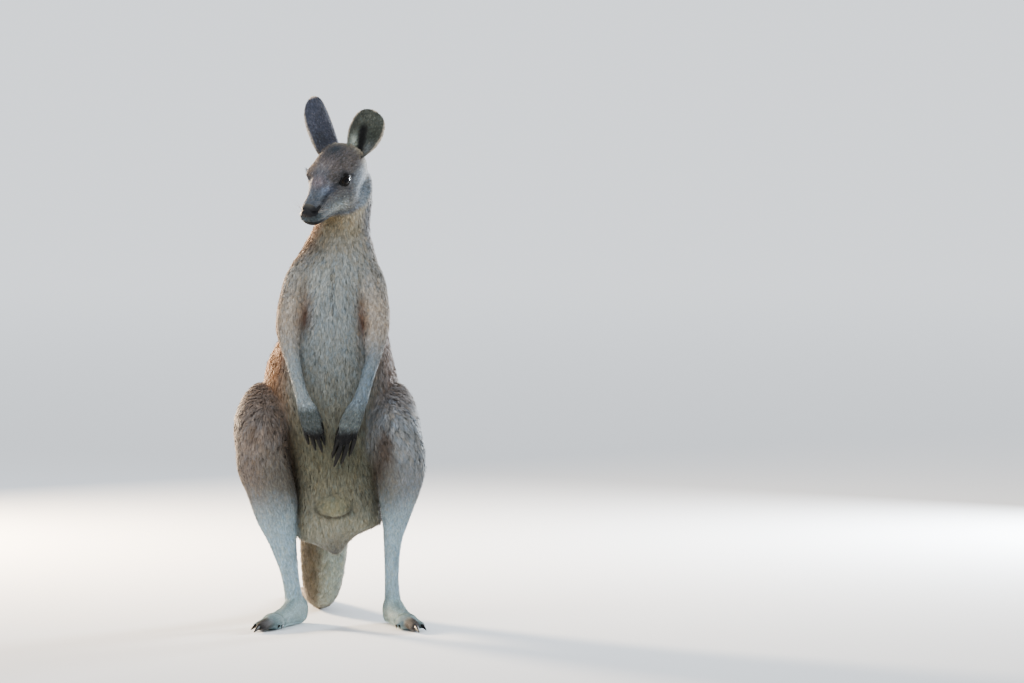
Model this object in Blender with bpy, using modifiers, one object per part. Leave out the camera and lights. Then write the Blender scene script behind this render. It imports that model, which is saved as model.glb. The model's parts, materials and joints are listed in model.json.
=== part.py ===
# Eastern grey kangaroo standing upright and alert, life size, as a still museum model.
# Metres, +Z up. The animal faces -Y with its head turned to its right (-X). The origin is on
# the floor under the middle of the model. The surface of each solid is the tip of the coat.
import math
from collections import namedtuple

import bmesh
import bpy
from mathutils import Matrix, Vector

GAP = 0.0004             # clearance of every thin cut and seat
VOXEL = 0.0042           # grid on which the overlapping forms are fused
FINE_VOXEL = 0.0024      # the same for hands and toes
HEAD_TURN = math.radians(33.5)
HEAD_NOD = math.radians(29.5)
HEAD_ROLL = math.radians(6)                       # the right eye is the higher
EYE_MIDDLE = Vector((-0.0060, -0.078, 1.0095))   # point midway between the eyes
EYE_RADIUS = 0.0155
EYE_SPREAD = 0.0395      # from the middle of the head to an eyeball's centre
EAR_LENGTHS = {"R": 0.133, "L": 0.131}
EAR_THICKNESS = 0.0032
FOOT_TURN = {"R": math.radians(19), "L": math.radians(14)}
SIDES = {"R": -1, "L": 1}

Ring = namedtuple("Ring", "centre side front back")

FORWARD = Vector((0, -1, 0))
UP = Vector((0, 0, 1))


# ---------------------------------------------------------------- shapes

def clear_scene():
    for obj in list(bpy.data.objects):
        bpy.data.objects.remove(obj)


def new_object(name, bm):
    mesh = bpy.data.meshes.new(name)
    bmesh.ops.recalc_face_normals(bm, faces=bm.faces)
    bm.to_mesh(mesh)
    bm.free()
    obj = bpy.data.objects.new(name, mesh)
    bpy.context.scene.collection.objects.link(obj)
    return obj


def curve_value(values, t):
    """Catmull-Rom curve through values (numbers or vectors), t from 0 to len(values) - 1."""
    last = len(values) - 1
    i = min(int(t), last - 1)
    u = t - i
    p1, p2 = values[i], values[i + 1]
    p0 = values[i - 1] if i > 0 else p1 * 2 - p2
    p3 = values[i + 2] if i + 2 <= last else p2 * 2 - p1
    return (p1 * 2 + (p2 - p0) * u + (p0 * 2 - p1 * 5 + p2 * 4 - p3) * u * u
            + (p1 * 3 - p0 - p2 * 3 + p3) * u ** 3) * 0.5


def lobe(angle, power):
    """Unit cosine and sine of a superellipse: power 2 is round, less is keeled, more is boxy."""
    def bent(v):
        return math.copysign(abs(v) ** (2 / power), v)
    return bent(math.cos(angle)), bent(math.sin(angle))


def loft(name, rings, facing, power=(2, 2), steps=4, sides=36, flat=False):
    """A closed form through rings: oval sections with their own reach to the sides, to the
    front (towards facing) and to the back. power shapes the front and back halves.
    The rings stand square to the path, or lie level if flat."""
    bm = bmesh.new()
    loops = []
    centres = [r.centre for r in rings]
    count = (len(rings) - 1) * steps + 1
    spots = [i / steps for i in range(count)]
    for t in spots:
        ahead = min(t + 0.05, len(rings) - 1)
        behind = max(t - 0.05, 0)
        along = UP if flat else (curve_value(centres, ahead) - curve_value(centres, behind)).normalized()
        front = (facing - along * facing.dot(along)).normalized()
        side = along.cross(front)
        centre = curve_value(centres, t)
        reach = [curve_value([getattr(r, k) for r in rings], t) for k in ("side", "front", "back")]
        loop = []
        for n in range(sides):
            angle = 2 * math.pi * n / sides
            half = 0 if math.sin(angle) >= 0 else 1
            c, s = lobe(angle, power[half])
            loop.append(bm.verts.new(centre + side * (c * reach[0]) + front * (s * reach[1 + half])))
        loops.append(loop)
    for low, high in zip(loops, loops[1:]):
        for n in range(sides):
            m = (n + 1) % sides
            bm.faces.new((low[n], low[m], high[m], high[n]))
    bm.faces.new(loops[0])
    bm.faces.new(loops[-1])
    return new_object(name, bm)


def ball(name, centre, radii, frame=None):
    bm = bmesh.new()
    bmesh.ops.create_uvsphere(bm, u_segments=24, v_segments=16, radius=1)
    bmesh.ops.transform(bm, matrix=Matrix.Diagonal((*radii, 1)), verts=bm.verts)
    if frame is not None:
        bmesh.ops.transform(bm, matrix=frame.to_3x3().to_4x4(), verts=bm.verts)
    bmesh.ops.translate(bm, vec=centre, verts=bm.verts)
    return new_object(name, bm)


def baked(obj):
    """Applies obj's modifiers to its mesh."""
    graph = bpy.context.evaluated_depsgraph_get()
    mesh = bpy.data.meshes.new_from_object(obj.evaluated_get(graph))
    obj.modifiers.clear()
    obj.data = mesh
    return obj


def thin_to(obj, triangles, spare_above=None):
    """Thins the mesh to about so many triangles, less so above a height."""
    bm = bmesh.new()
    bm.from_mesh(obj.data)
    bmesh.ops.triangulate(bm, faces=bm.faces[:])
    bm.to_mesh(obj.data)
    count = len(bm.faces)
    bm.free()
    thin = obj.modifiers.new("thin", "DECIMATE")
    thin.ratio = min(1, triangles / count)
    if spare_above is not None:
        group = obj.vertex_groups.new(name="coarse")
        low = [v.index for v in obj.data.vertices if v.co.z < spare_above]
        high = [v.index for v in obj.data.vertices if v.co.z >= spare_above]
        group.add(low, 1.0, "REPLACE")
        group.add(high, HEAD_THINNING, "REPLACE")
        thin.vertex_group = group.name
    return baked(obj)


def fuse(name, objects, voxel, smoothing, triangles, spare_above=None, blend_above=None):
    """One smooth closed form from overlapping ones, thinned to about so many triangles.
    Above the height blend_above it is smoothed more, to blend one form into the next."""
    bm = bmesh.new()
    for obj in objects:
        bm.from_mesh(obj.data)
        bpy.data.objects.remove(obj)
    fused = new_object(name, bm)
    remesh = fused.modifiers.new("fuse", "REMESH")
    remesh.mode = "VOXEL"
    remesh.voxel_size = voxel
    smooth = fused.modifiers.new("smooth", "SMOOTH")
    smooth.factor = 0.5
    smooth.iterations = smoothing
    if blend_above is not None:
        baked(fused)
        group = fused.vertex_groups.new(name="blend")
        for vert in fused.data.vertices:
            share = min(max((vert.co.z - blend_above) / 0.05, 0), 1)
            group.add([vert.index], share, "REPLACE")
        more = fused.modifiers.new("blend", "SMOOTH")
        more.factor = 0.5
        more.iterations = 36
        more.vertex_group = group.name
    return thin_to(baked(fused), triangles, spare_above)


def swollen(name, objects, by):
    """A copy of the objects, as one, with its surface moved out."""
    bm = bmesh.new()
    for obj in objects:
        bm.from_mesh(obj.data)
    bm.normal_update()
    for vert in bm.verts:
        vert.co += vert.normal * by
    return new_object(name, bm)


def subtract(obj, cutter):
    cut = obj.modifiers.new("cut", "BOOLEAN")
    cut.operation = "DIFFERENCE"
    cut.solver = "EXACT"
    cut.object = cutter
    baked(obj)
    bpy.data.objects.remove(cutter)
    return obj


def keep_side(obj, point, normal):
    """Cuts obj with a plane and keeps the side that the normal points to."""
    bm = bmesh.new()
    bm.from_mesh(obj.data)
    bmesh.ops.bisect_plane(bm, geom=bm.verts[:] + bm.edges[:] + bm.faces[:], plane_co=point,
                           plane_no=normal, clear_inner=True, dist=1e-7)
    bmesh.ops.holes_fill(bm, edges=[e for e in bm.edges if e.is_boundary])
    bmesh.ops.triangulate(bm, faces=[f for f in bm.faces if len(f.verts) > 3])
    bmesh.ops.recalc_face_normals(bm, faces=bm.faces)
    bm.to_mesh(obj.data)
    bm.free()
    return obj


def part_at(obj, name, point, normal):
    """Parts obj with a thin plane cut. The piece on the side of the normal becomes name,
    and obj keeps the rest."""
    normal = Vector(normal).normalized()
    point = Vector(point)
    piece = bpy.data.objects.new(name, obj.data.copy())
    bpy.context.scene.collection.objects.link(piece)
    keep_side(piece, point + normal * (GAP / 2), normal)
    keep_side(obj, point - normal * (GAP / 2), -normal)
    return piece


def renamed(obj, name):
    obj.name = name
    return obj


# ---------------------------------------------------------------- body

def torso():
    """Trunk and neck as one form, from the floor of the pelvis to the nape.
    Columns: height, x, y, half width, reach to the front, reach to the back."""
    levels = [
        (0.157, 0.002, 0.030, 0.012, 0.020, 0.026),
        (0.168, 0.001, 0.030, 0.024, 0.036, 0.040),
        (0.181, -0.006, 0.030, 0.040, 0.056, 0.058),
        (0.193, -0.017, 0.029, 0.062, 0.074, 0.074),
        (0.205, -0.014, 0.028, 0.074, 0.088, 0.088),
        (0.218, 0.001, 0.028, 0.0885, 0.099, 0.100),
        (0.234, 0.012, 0.028, 0.0995, 0.109, 0.111),
        (0.262, 0.013, 0.026, 0.0995, 0.122, 0.124),
        (0.305, 0.011, 0.024, 0.099, 0.138, 0.137),
        (0.360, 0.008, 0.020, 0.108, 0.150, 0.144),
        (0.440, 0.000, 0.015, 0.132, 0.154, 0.142),
        (0.520, -0.005, 0.010, 0.154, 0.146, 0.135),
        (0.600, -0.005, 0.000, 0.1420, 0.127, 0.118),
        (0.670, 0.0055, -0.008, 0.1165, 0.111, 0.100),
        (0.740, 0.005, -0.014, 0.108, 0.103, 0.086),
        (0.795, 0.007, -0.018, 0.102, 0.093, 0.073),
        (0.845, 0.0115, -0.020, 0.0850, 0.074, 0.064),
        (0.890, 0.0185, -0.020, 0.0660, 0.056, 0.059),
        (0.935, 0.0285, -0.015, 0.059, 0.049, 0.057),
        (0.978, 0.035, -0.010, 0.056, 0.045, 0.053),
        (1.012, 0.039, -0.008, 0.048, 0.040, 0.040),
        (1.032, 0.039, -0.012, 0.030, 0.026, 0.022),
    ]
    rings = [Ring(Vector((x, y, z)), w, f, b) for z, x, y, w, f, b in levels]
    return loft("torso", rings, FORWARD, power=(1.85, 2.0), steps=3, sides=48, flat=True)


def head_frame():
    """X forward along the skull, Y to the animal's left, Z up through the crown."""
    turn, nod = HEAD_TURN, HEAD_NOD
    ahead = Vector((-math.sin(turn) * math.cos(nod), -math.cos(turn) * math.cos(nod), -math.sin(nod)))
    level = Vector((math.cos(turn), -math.sin(turn), 0))
    left = level * math.cos(HEAD_ROLL) - ahead.cross(level) * math.sin(HEAD_ROLL)
    frame = Matrix((ahead, left, ahead.cross(left))).transposed().to_4x4()
    return Matrix.Translation(EYE_MIDDLE) @ frame


def head():
    """Skull and muzzle. Columns: distance ahead of the eyes, level of the greatest width,
    half width, top and bottom, from the line between the eyes."""
    sections = [
        (-0.110, -0.010, 0.024, 0.010, -0.032),
        (-0.100, -0.010, 0.038, 0.025, -0.046),
        (-0.086, -0.011, 0.0465, 0.0375, -0.061),
        (-0.066, -0.009, 0.0515, 0.0480, -0.074),
        (-0.042, -0.009, 0.0540, 0.0475, -0.082),
        (-0.020, -0.011, 0.0535, 0.0430, -0.0870),
        (0.000, -0.017, 0.0500, 0.0370, -0.0885),
        (0.018, -0.027, 0.0402, 0.0280, -0.0875),
        (0.036, -0.034, 0.0320, 0.0165, -0.0835),
        (0.054, -0.038, 0.0278, 0.0060, -0.0785),
        (0.072, -0.039, 0.0262, -0.0030, -0.0735),
        (0.088, -0.040, 0.0255, -0.0095, -0.0700),
        (0.100, -0.041, 0.0248, -0.0140, -0.0670),
        (0.109, -0.042, 0.0225, -0.0195, -0.0615),
        (0.1145, -0.043, 0.0158, -0.0280, -0.0540),
    ]
    frame = head_frame()
    rings = [Ring(frame @ Vector((s, 0, level)), w, top - level, level - bottom)
             for s, level, w, top, bottom in sections]
    crown = frame.to_3x3() @ UP
    skull = loft("skull", rings, crown, power=(2.55, 2.1), steps=3, sides=40)
    brows = [ball("brow", frame @ Vector((0.004, sign * 0.0300, 0.0150)), (0.034, 0.0205, 0.0160), frame)
             for sign in SIDES.values()]
    cheeks = [ball("cheek", frame @ Vector((-0.014, sign * 0.031, -0.048)), (0.038, 0.021, 0.037), frame)
              for sign in SIDES.values()]
    return [skull, *brows, *cheeks]


def arm(side):
    """Upper arm and forearm down to just past the wrist. Columns: x, y, z, radius across, radius deep."""
    rows = {
        "R": [(-0.044, -0.026, 0.822, 0.024, 0.032), (-0.062, -0.042, 0.788, 0.0405, 0.045),
              (-0.0795, -0.066, 0.737, 0.0395, 0.041), (-0.0955, -0.094, 0.686, 0.0300, 0.033),
              (-0.0945, -0.110, 0.645, 0.0240, 0.0260), (-0.0860, -0.127, 0.605, 0.0168, 0.0210),
              (-0.0775, -0.143, 0.572, 0.0148, 0.0170), (-0.0695, -0.156, 0.543, 0.0142, 0.0145),
              (-0.0620, -0.166, 0.520, 0.0156, 0.0140), (-0.0540, -0.172, 0.500, 0.0176, 0.0135)],
        "L": [(0.054, -0.026, 0.822, 0.024, 0.032), (0.073, -0.042, 0.788, 0.0405, 0.045),
              (0.0885, -0.066, 0.737, 0.0385, 0.041), (0.1000, -0.094, 0.686, 0.0310, 0.033),
              (0.0970, -0.110, 0.645, 0.0250, 0.0260), (0.0912, -0.127, 0.602, 0.0168, 0.0210),
              (0.0830, -0.143, 0.572, 0.0145, 0.0170), (0.0750, -0.156, 0.545, 0.0146, 0.0145),
              (0.0680, -0.166, 0.522, 0.0164, 0.0140), (0.0600, -0.172, 0.502, 0.0185, 0.0135)],
    }[side]
    rings = [Ring(Vector((x, y, z)), across, deep, deep) for x, y, z, across, deep in rows]
    return loft("arm", rings, FORWARD, sides=28)


def thigh(side):
    """From the back of the hip forward to the knee.
    Columns: y, height, then x, half width, reach up and reach down."""
    places = [(0.130, 0.380), (0.118, 0.388), (0.085, 0.405), (0.030, 0.428), (-0.035, 0.440),
              (-0.088, 0.446), (-0.124, 0.445), (-0.146, 0.440), (-0.152, 0.438)]
    forms = {
        "R": [(-0.074, 0.020, 0.030, 0.034), (-0.076, 0.046, 0.073, 0.078), (-0.096, 0.074, 0.108, 0.122),
              (-0.130, 0.082, 0.122, 0.136), (-0.152, 0.070, 0.118, 0.112), (-0.159, 0.062, 0.086, 0.090),
              (-0.160, 0.047, 0.058, 0.068), (-0.158, 0.026, 0.031, 0.040), (-0.157, 0.010, 0.012, 0.014)],
        "L": [(0.074, 0.020, 0.030, 0.034), (0.076, 0.046, 0.073, 0.078), (0.090, 0.070, 0.108, 0.122),
              (0.112, 0.081, 0.126, 0.136), (0.128, 0.071, 0.122, 0.112), (0.138, 0.061, 0.084, 0.090),
              (0.146, 0.047, 0.056, 0.068), (0.149, 0.026, 0.030, 0.040), (0.150, 0.010, 0.012, 0.014)],
    }[side]
    rings = [Ring(Vector((x, y, z)), w, top, low)
             for (y, z), (x, w, top, low) in zip(places, forms)]
    return loft("thigh", rings, UP)


def shank(side):
    """From the knee down to the ankle. The right leg bears inwards, the left stands upright.
    Levels: height, y, reach to the front, reach to the back. Columns: x, half width."""
    levels = [(0.450, -0.098, 0.042, 0.060), (0.380, -0.082, 0.052, 0.076), (0.310, -0.058, 0.043, 0.070),
              (0.252, -0.036, 0.032, 0.054), (0.202, -0.017, 0.0255, 0.040), (0.155, -0.003, 0.0215, 0.031),
              (0.105, 0.010, 0.0185, 0.0265), (0.060, 0.018, 0.0215, 0.0275), (0.034, 0.020, 0.0210, 0.0260)]
    columns = {
        "R": [(-0.158, 0.050), (-0.1565, 0.0605), (-0.1380, 0.0555), (-0.1275, 0.0485), (-0.1160, 0.0347),
              (-0.1060, 0.0256), (-0.0970, 0.0202), (-0.0902, 0.0198), (-0.0875, 0.0200)],
        "L": [(0.150, 0.048), (0.1550, 0.0580), (0.1485, 0.0500), (0.1420, 0.0340), (0.1352, 0.0225),
              (0.1325, 0.0180), (0.1312, 0.0163), (0.1330, 0.0182), (0.1345, 0.0200)],
    }[side]
    rings = [Ring(Vector((x, y, z)), w, f, b)
             for (z, y, f, b), (x, w) in zip(levels, columns)]
    return loft("shank", rings, FORWARD, sides=32)


def foot_frame(side):
    """X along the foot towards the toes, Y to its outer side, Z up; the origin is under the ankle."""
    ankle = {"R": Vector((-0.087, 0.020, 0)), "L": Vector((0.1345, 0.020, 0))}[side]
    sign, turn = SIDES[side], FOOT_TURN[side]
    ahead = Vector((sign * math.sin(turn), -math.cos(turn), 0))
    outward = Vector((sign * math.cos(turn), math.sin(turn), 0))
    return Matrix.Translation(ankle) @ Matrix((ahead, outward, UP)).transposed().to_4x4()


def foot(side):
    """Heel and long middle foot. Columns: distance ahead of the ankle, height, half width, reach up."""
    rows = [(-0.058, 0.027, 0.009, 0.011), (-0.046, 0.030, 0.017, 0.024), (-0.020, 0.033, 0.0205, 0.034),
            (0.012, 0.034, 0.0225, 0.031), (0.050, 0.028, 0.0225, 0.021), (0.090, 0.0235, 0.0240, 0.0155),
            (0.128, 0.0205, 0.0275, 0.0120), (0.150, 0.0185, 0.0270, 0.0105)]
    frame = foot_frame(side)
    sunk = 0.0022                # the sole is modelled this much low and then cut flat
    rings = [Ring(frame @ Vector((s, 0, z)), w, up, (z + sunk if 0.04 > s > -0.05 or s > 0.04 else up))
             for s, z, w, up in rows]
    return loft("foot", rings, UP, power=(2.0, 2.6), sides=28)


def digit(name, frame, points, radii, flat=1.0):
    """A finger or toe: a round form along points in the frame, flattened by flat."""
    axis = frame.to_3x3()
    rings = [Ring(frame @ Vector(p), r, r * flat, r * flat) for p, r in zip(points, radii)]
    return loft(name, rings, axis @ UP, steps=3, sides=16)


def claw(name, frame, root, tip, radius, droop):
    """A horn claw that narrows and hooks downwards from root to tip, in the frame."""
    root, tip = Vector(root), Vector(tip)
    axis = frame.to_3x3()
    rings = []
    for share, width in ((0.0, 1.0), (0.5, 0.80), (1.0, 0.12)):
        arch = Vector((0, 0, droop * 4 * share * (1 - share)))
        rings.append(Ring(frame @ (root.lerp(tip, share) + arch), radius * width * 0.78,
                          radius * width, radius * width))
    return loft(name, rings, axis @ UP, steps=1, sides=6)


def toes(side):
    """The great fourth toe, the fifth outside it and the bound second and third inside, with claws."""
    frame = foot_frame(side)
    forms = [
        digit("ball", frame, [(0.112, 0, 0.0175), (0.128, 0.001, 0.0175), (0.146, 0.002, 0.0165),
                              (0.160, 0.003, 0.013)], (0.0225, 0.0255, 0.0235, 0.013), 0.80),
        digit("toe4", frame, [(0.120, 0, 0.016), (0.150, 0.001, 0.0165), (0.180, 0.002, 0.0150),
                              (0.204, 0.002, 0.0130), (0.216, 0.002, 0.0115)],
              (0.0150, 0.0150, 0.0138, 0.0125, 0.0080)),
        digit("toe5", frame, [(0.112, 0.013, 0.014), (0.140, 0.021, 0.0125), (0.160, 0.0255, 0.0115),
                              (0.172, 0.028, 0.0100)], (0.0115, 0.0108, 0.0098, 0.0065)),
        digit("toe23", frame, [(0.105, -0.013, 0.014), (0.125, -0.019, 0.0125), (0.142, -0.0215, 0.011),
                               (0.150, -0.0225, 0.0100)], (0.0090, 0.0082, 0.0074, 0.0050), 1.0),
    ]
    made = fuse(f"toes_{side}", forms, FINE_VOXEL, 4, 210)
    keep_side(made, frame @ Vector((TOES_START, 0, 0)), frame.to_3x3() @ Vector((1, 0, 0)))
    keep_side(made, Vector((0, 0, 0)), UP)
    claws = [
        claw(f"claw_toe4_{side}", frame, (0.202, 0.002, 0.0125), (0.246, 0.003, 0.0035), 0.0080, 0.0045),
        claw(f"claw_toe5_{side}", frame, (0.162, 0.0265, 0.0110), (0.192, 0.0320, 0.0030), 0.0058, 0.0035),
        claw(f"claw_toe3_{side}", frame, (0.143, -0.0195, 0.0120), (0.161, -0.0205, 0.0050), 0.0032, 0.0020),
        claw(f"claw_toe2_{side}", frame, (0.142, -0.0255, 0.0110), (0.157, -0.0285, 0.0050), 0.0030, 0.0020),
    ]
    subtract(made, swollen("claw_room", claws, GAP))
    return [made, *claws]


def hand_frame(side):
    """X from the wrist towards the fingers, Y towards the thumb side, Z out of the back of the hand."""
    wrist, tips = {
        "R": (Vector((-0.0620, -0.166, 0.520)), Vector((-0.0180, -0.200, 0.400))),
        "L": (Vector((0.0670, -0.166, 0.520)), Vector((0.0085, -0.202, 0.376))),
    }[side]
    ahead = (tips - wrist).normalized()
    thumb = {"R": Vector((1, 0, 0)), "L": Vector((-1, 0, 0))}[side]
    thumb = (thumb - ahead * thumb.dot(ahead)).normalized()
    back = ahead.cross(thumb)
    if back.y > 0:
        back = -back
    return Matrix.Translation(wrist) @ Matrix((ahead, thumb, back)).transposed().to_4x4()


def hand(side):
    """Palm and five clawed fingers, hanging from the wrist. The right hand is curled more."""
    frame = hand_frame(side)
    size, curl = {"R": (1.06, 1.0), "L": (1.24, 0.45)}[side]
    palm_rows = [(-0.012, 0.0150, 0.0140), (0.006, 0.0168, 0.0136), (0.024, 0.0205, 0.0134),
                 (0.044, 0.0235, 0.0130), (0.060, 0.0225, 0.0112), (0.070, 0.0150, 0.0070)]
    palm = loft("palm", [Ring(frame @ Vector((s * size, 0, 0)), w, d, d) for s, w, d in palm_rows],
                frame.to_3x3() @ UP, sides=24)
    # each finger, thumb first: place across the palm, start, length and thickness
    fingers = [(0.0165, 0.032, 0.027, 0.0068), (0.0115, 0.054, 0.029, 0.0070), (0.0025, 0.060, 0.032, 0.0074),
               (-0.0075, 0.056, 0.030, 0.0072), (-0.0160, 0.046, 0.026, 0.0066)]
    forms, claws = [palm], []
    for number, (across, start, length, radius) in enumerate(fingers, 1):
        length *= size
        fan = across * 0.18
        knuckle = Vector((start * size, across, 0.0020))
        middle = knuckle + Vector((length * 0.55, fan * 0.55, -0.002 * curl))
        end = knuckle + Vector((length * (1.02 - 0.12 * curl), fan, -0.011 * curl))
        tip = knuckle + Vector((length * (1.14 - 0.15 * curl), fan * 1.05, -0.0150 * curl))
        inside = knuckle + Vector((-0.016, -across * 0.15, -0.001))
        forms.append(digit("finger", frame, [inside, knuckle, middle, end, tip],
                           (radius * 1.05, radius * 1.1, radius, radius * 0.9, radius * 0.6)))
        reach = Vector((0.0260 - 0.0070 * curl, fan * 0.2, -0.0090 - 0.0100 * curl)) * (length / 0.028)
        claws.append(claw(f"claw_hand{number}_{side}", frame, end + Vector((-0.001, 0, 0.0010)),
                          end + reach, radius * 0.66, 0.0034))
    made = fuse(f"hand_{side}", forms, FINE_VOXEL, 4, 230)
    keep_side(made, frame @ Vector((GAP, 0, 0)), frame.to_3x3() @ Vector((1, 0, 0)))
    subtract(made, swollen("claw_room", claws, GAP))
    return [made, *claws]


def tail_form():
    """Thick at the rump, down to the floor and back along it, bearing a little to the animal's right."""
    rows = [(0.000, 0.085, 0.305, 0.070, 0.080, 0.064), (-0.020, 0.140, 0.240, 0.0600, 0.064, 0.056),
            (-0.027, 0.183, 0.178, 0.0560, 0.055, 0.050), (-0.030, 0.228, 0.119, 0.0530, 0.048, 0.046),
            (-0.035, 0.288, 0.066, 0.0455, 0.0430, 0.0430), (-0.041, 0.372, 0.040, 0.0365, 0.0355, 0.0365),
            (-0.046, 0.460, 0.0285, 0.0300, 0.029, 0.0298), (-0.061, 0.552, 0.0215, 0.0245, 0.023, 0.0232),
            (-0.080, 0.640, 0.0165, 0.0190, 0.018, 0.0183), (-0.098, 0.712, 0.0125, 0.0135, 0.013, 0.0142),
            (-0.106, 0.742, 0.0090, 0.0070, 0.007, 0.0085)]
    rings = [Ring(Vector((x, y, z)), w, up, low) for x, y, z, w, up, low in rows]
    return loft("tail", rings, UP, sides=32)


def ear(side):
    """A cupped leaf of even thickness: nearly a tube at its root and open towards the tip."""
    frame = head_frame()
    root = frame @ {"R": Vector((-0.070, -0.024, 0.022)), "L": Vector((-0.070, 0.031, 0.022))}[side]
    axis = {"R": Vector((-0.40, 0.10, 0.92)), "L": Vector((0.36, 0.52, 0.775))}[side].normalized()
    opening = {"R": Vector((-0.70, 0.71, 0.00)), "L": Vector((0.12, -0.98, 0.10))}[side]
    opening = (opening - axis * opening.dot(axis)).normalized()
    across = axis.cross(opening)
    rows, columns = 9, 6
    lengths = [-0.06, 0.0, 0.12, 0.30, 0.50, 0.70, 0.86, 0.95, 1.0]
    half_arcs = [0.028, 0.032, 0.041, 0.0450, 0.0460, 0.0415, 0.0310, 0.0200, 0.0070]
    bends = [0.0165, 0.0190, 0.0280, 0.0400, 0.0470, 0.0500, 0.0520, 0.0530, 0.0540]
    if side == "R":              # laid further open, so broader where it joins the crown
        half_arcs[:4] = [0.036, 0.041, 0.0455, 0.0460]
        bends[:4] = [0.0235, 0.0265, 0.0335, 0.0410]
    else:
        half_arcs[:4] = [0.028, 0.034, 0.0440, 0.0470]
    bm = bmesh.new()
    bmesh.ops.create_grid(bm, x_segments=columns, y_segments=rows, size=1)
    for vert in bm.verts:
        t = (vert.co.y + 1) / 2 * (len(lengths) - 1)
        rise = curve_value(lengths, t) * EAR_LENGTHS[side]
        radius = max(curve_value(bends, t), 0.01)
        angle = vert.co.x * curve_value(half_arcs, t) / radius
        hollow = Vector(opening) * (radius * (1 - math.cos(angle)) - 0.010)
        vert.co = root + axis * rise + across * (radius * math.sin(angle)) + hollow
    made = new_object(f"ear_{side}", bm)
    shell = made.modifiers.new("shell", "SOLIDIFY")
    shell.thickness = EAR_THICKNESS
    shell.offset = 0
    return baked(made)


def eye(side):
    frame = head_frame()
    centre = frame @ Vector((0.001, SIDES[side] * EYE_SPREAD, 0.001))
    bm = bmesh.new()
    bmesh.ops.create_icosphere(bm, subdivisions=2, radius=EYE_RADIUS)
    bmesh.ops.translate(bm, vec=centre, verts=bm.verts)
    return new_object(f"eye_{side}", bm)


# ---------------------------------------------------------------- the whole animal

TOES_START = 0.118
HEAD_LEVEL = 0.90
HEAD_THINNING = 0.93


def leg(side):
    """Thigh, shank, foot and toes, fused where they are one form and parted at the joints."""
    sign = SIDES[side]
    whole = fuse("leg", [thigh(side), shank(side), foot(side)], VOXEL, 8, 660, None, 0.24)
    keep_side(whole, Vector((0, 0, 0)), UP)
    room = swollen("leg_room", [whole], GAP)
    made = part_at(whole, f"thigh_{side}", (0, -0.060, 0.3316), (0, 0.55, 0.83))
    low = part_at(whole, f"foot_{side}", (0, 0, 0.073), (0, 0, -1))
    axes = foot_frame(side)
    keep_side(low, axes @ Vector((TOES_START - GAP, 0, 0)), axes.to_3x3() @ Vector((-1, 0, 0)))
    return [made, renamed(whole, f"shank_{side}"), low, *toes(side)], room


def foreleg(side):
    """Upper arm, forearm and hand."""
    whole = thin_to(arm(side), 340)
    wrist = hand_frame(side)
    keep_side(whole, wrist.translation, wrist.to_3x3() @ Vector((-1, 0, 0)))
    room = swollen("arm_room", [whole], GAP)
    lower = part_at(whole, f"forearm_{side}", (0, -0.098, 0.674), (0, -0.42, -0.90))
    return [renamed(whole, f"upper_arm_{side}"), lower, *hand(side)], room


def core():
    """Trunk, neck, head and tail."""
    mound = ball("mound", (-0.001, -0.090, 0.272), (0.047, 0.025, 0.028))
    shoulders = [ball("shoulder", (0.006 + sign * 0.060, -0.034, 0.782), (0.046, 0.050, 0.066))
                 for sign in SIDES.values()]
    whole = fuse("core", [torso(), *head(), tail_form(), mound, *shoulders], VOXEL, 9, 2150, HEAD_LEVEL)
    keep_side(whole, Vector((0, 0, 0)), UP)
    tail_base = part_at(whole, "tail_base", (-0.007, 0.150, 0.225), (-0.06, 0.75, -0.66))
    tail_middle = part_at(tail_base, "tail_middle", (-0.041, 0.380, 0.042), (-0.15, 0.96, -0.20))
    tail_tip = part_at(tail_middle, "tail_tip", (-0.085, 0.575, 0.020), (-0.26, 0.96, 0))
    neck = part_at(whole, "neck", (0.012, -0.020, 0.858), (0.05, -0.12, 1))
    frame = head_frame()
    top = part_at(neck, "head", frame @ Vector((-0.030, 0, -0.086)), frame.to_3x3() @ Vector((0.2, 0, 0.98)))
    return [renamed(whole, "trunk"), neck, top, tail_base, tail_middle, tail_tip]


def build():
    clear_scene()
    trunk, neck, top, *tail_parts = core()
    nodes = [trunk, neck, top, *tail_parts]
    for side in SIDES:
        for limb, room in (leg(side), foreleg(side)):
            nodes += limb
            subtract(trunk, room)
    eyes = [eye(side) for side in SIDES]
    subtract(top, swollen("eye_room", eyes, GAP))
    ears = [ear(side) for side in SIDES]
    for one in ears:
        subtract(one, swollen("head_room", [top], GAP))
    nodes += eyes + ears
    return nodes


# ---------------------------------------------------------------- colours

COLOURS = {
    "trunk": (0.42, 0.37, 0.31), "neck": (0.36, 0.32, 0.28), "head": (0.30, 0.27, 0.25),
    "ear": (0.20, 0.19, 0.19), "eye": (0.012, 0.010, 0.010), "claw": (0.030, 0.028, 0.028),
    "upper": (0.36, 0.32, 0.28), "forearm": (0.33, 0.31, 0.30), "hand": (0.075, 0.070, 0.068),
    "thigh": (0.38, 0.33, 0.28), "shank": (0.34, 0.32, 0.30), "foot": (0.22, 0.20, 0.19),
    "toes": (0.060, 0.055, 0.053), "tail": (0.26, 0.22, 0.18),
}


def paint(obj):
    key = obj.name.split("_")[0]
    mat = bpy.data.materials.new(obj.name)
    mat.use_nodes = True
    shader = mat.node_tree.nodes["Principled BSDF"]
    shader.inputs["Base Color"].default_value = (*COLOURS[key], 1)
    shader.inputs["Roughness"].default_value = {"eye": 0.06, "claw": 0.35}.get(key, 0.85)
    obj.data.materials.clear()
    obj.data.materials.append(mat)


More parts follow.
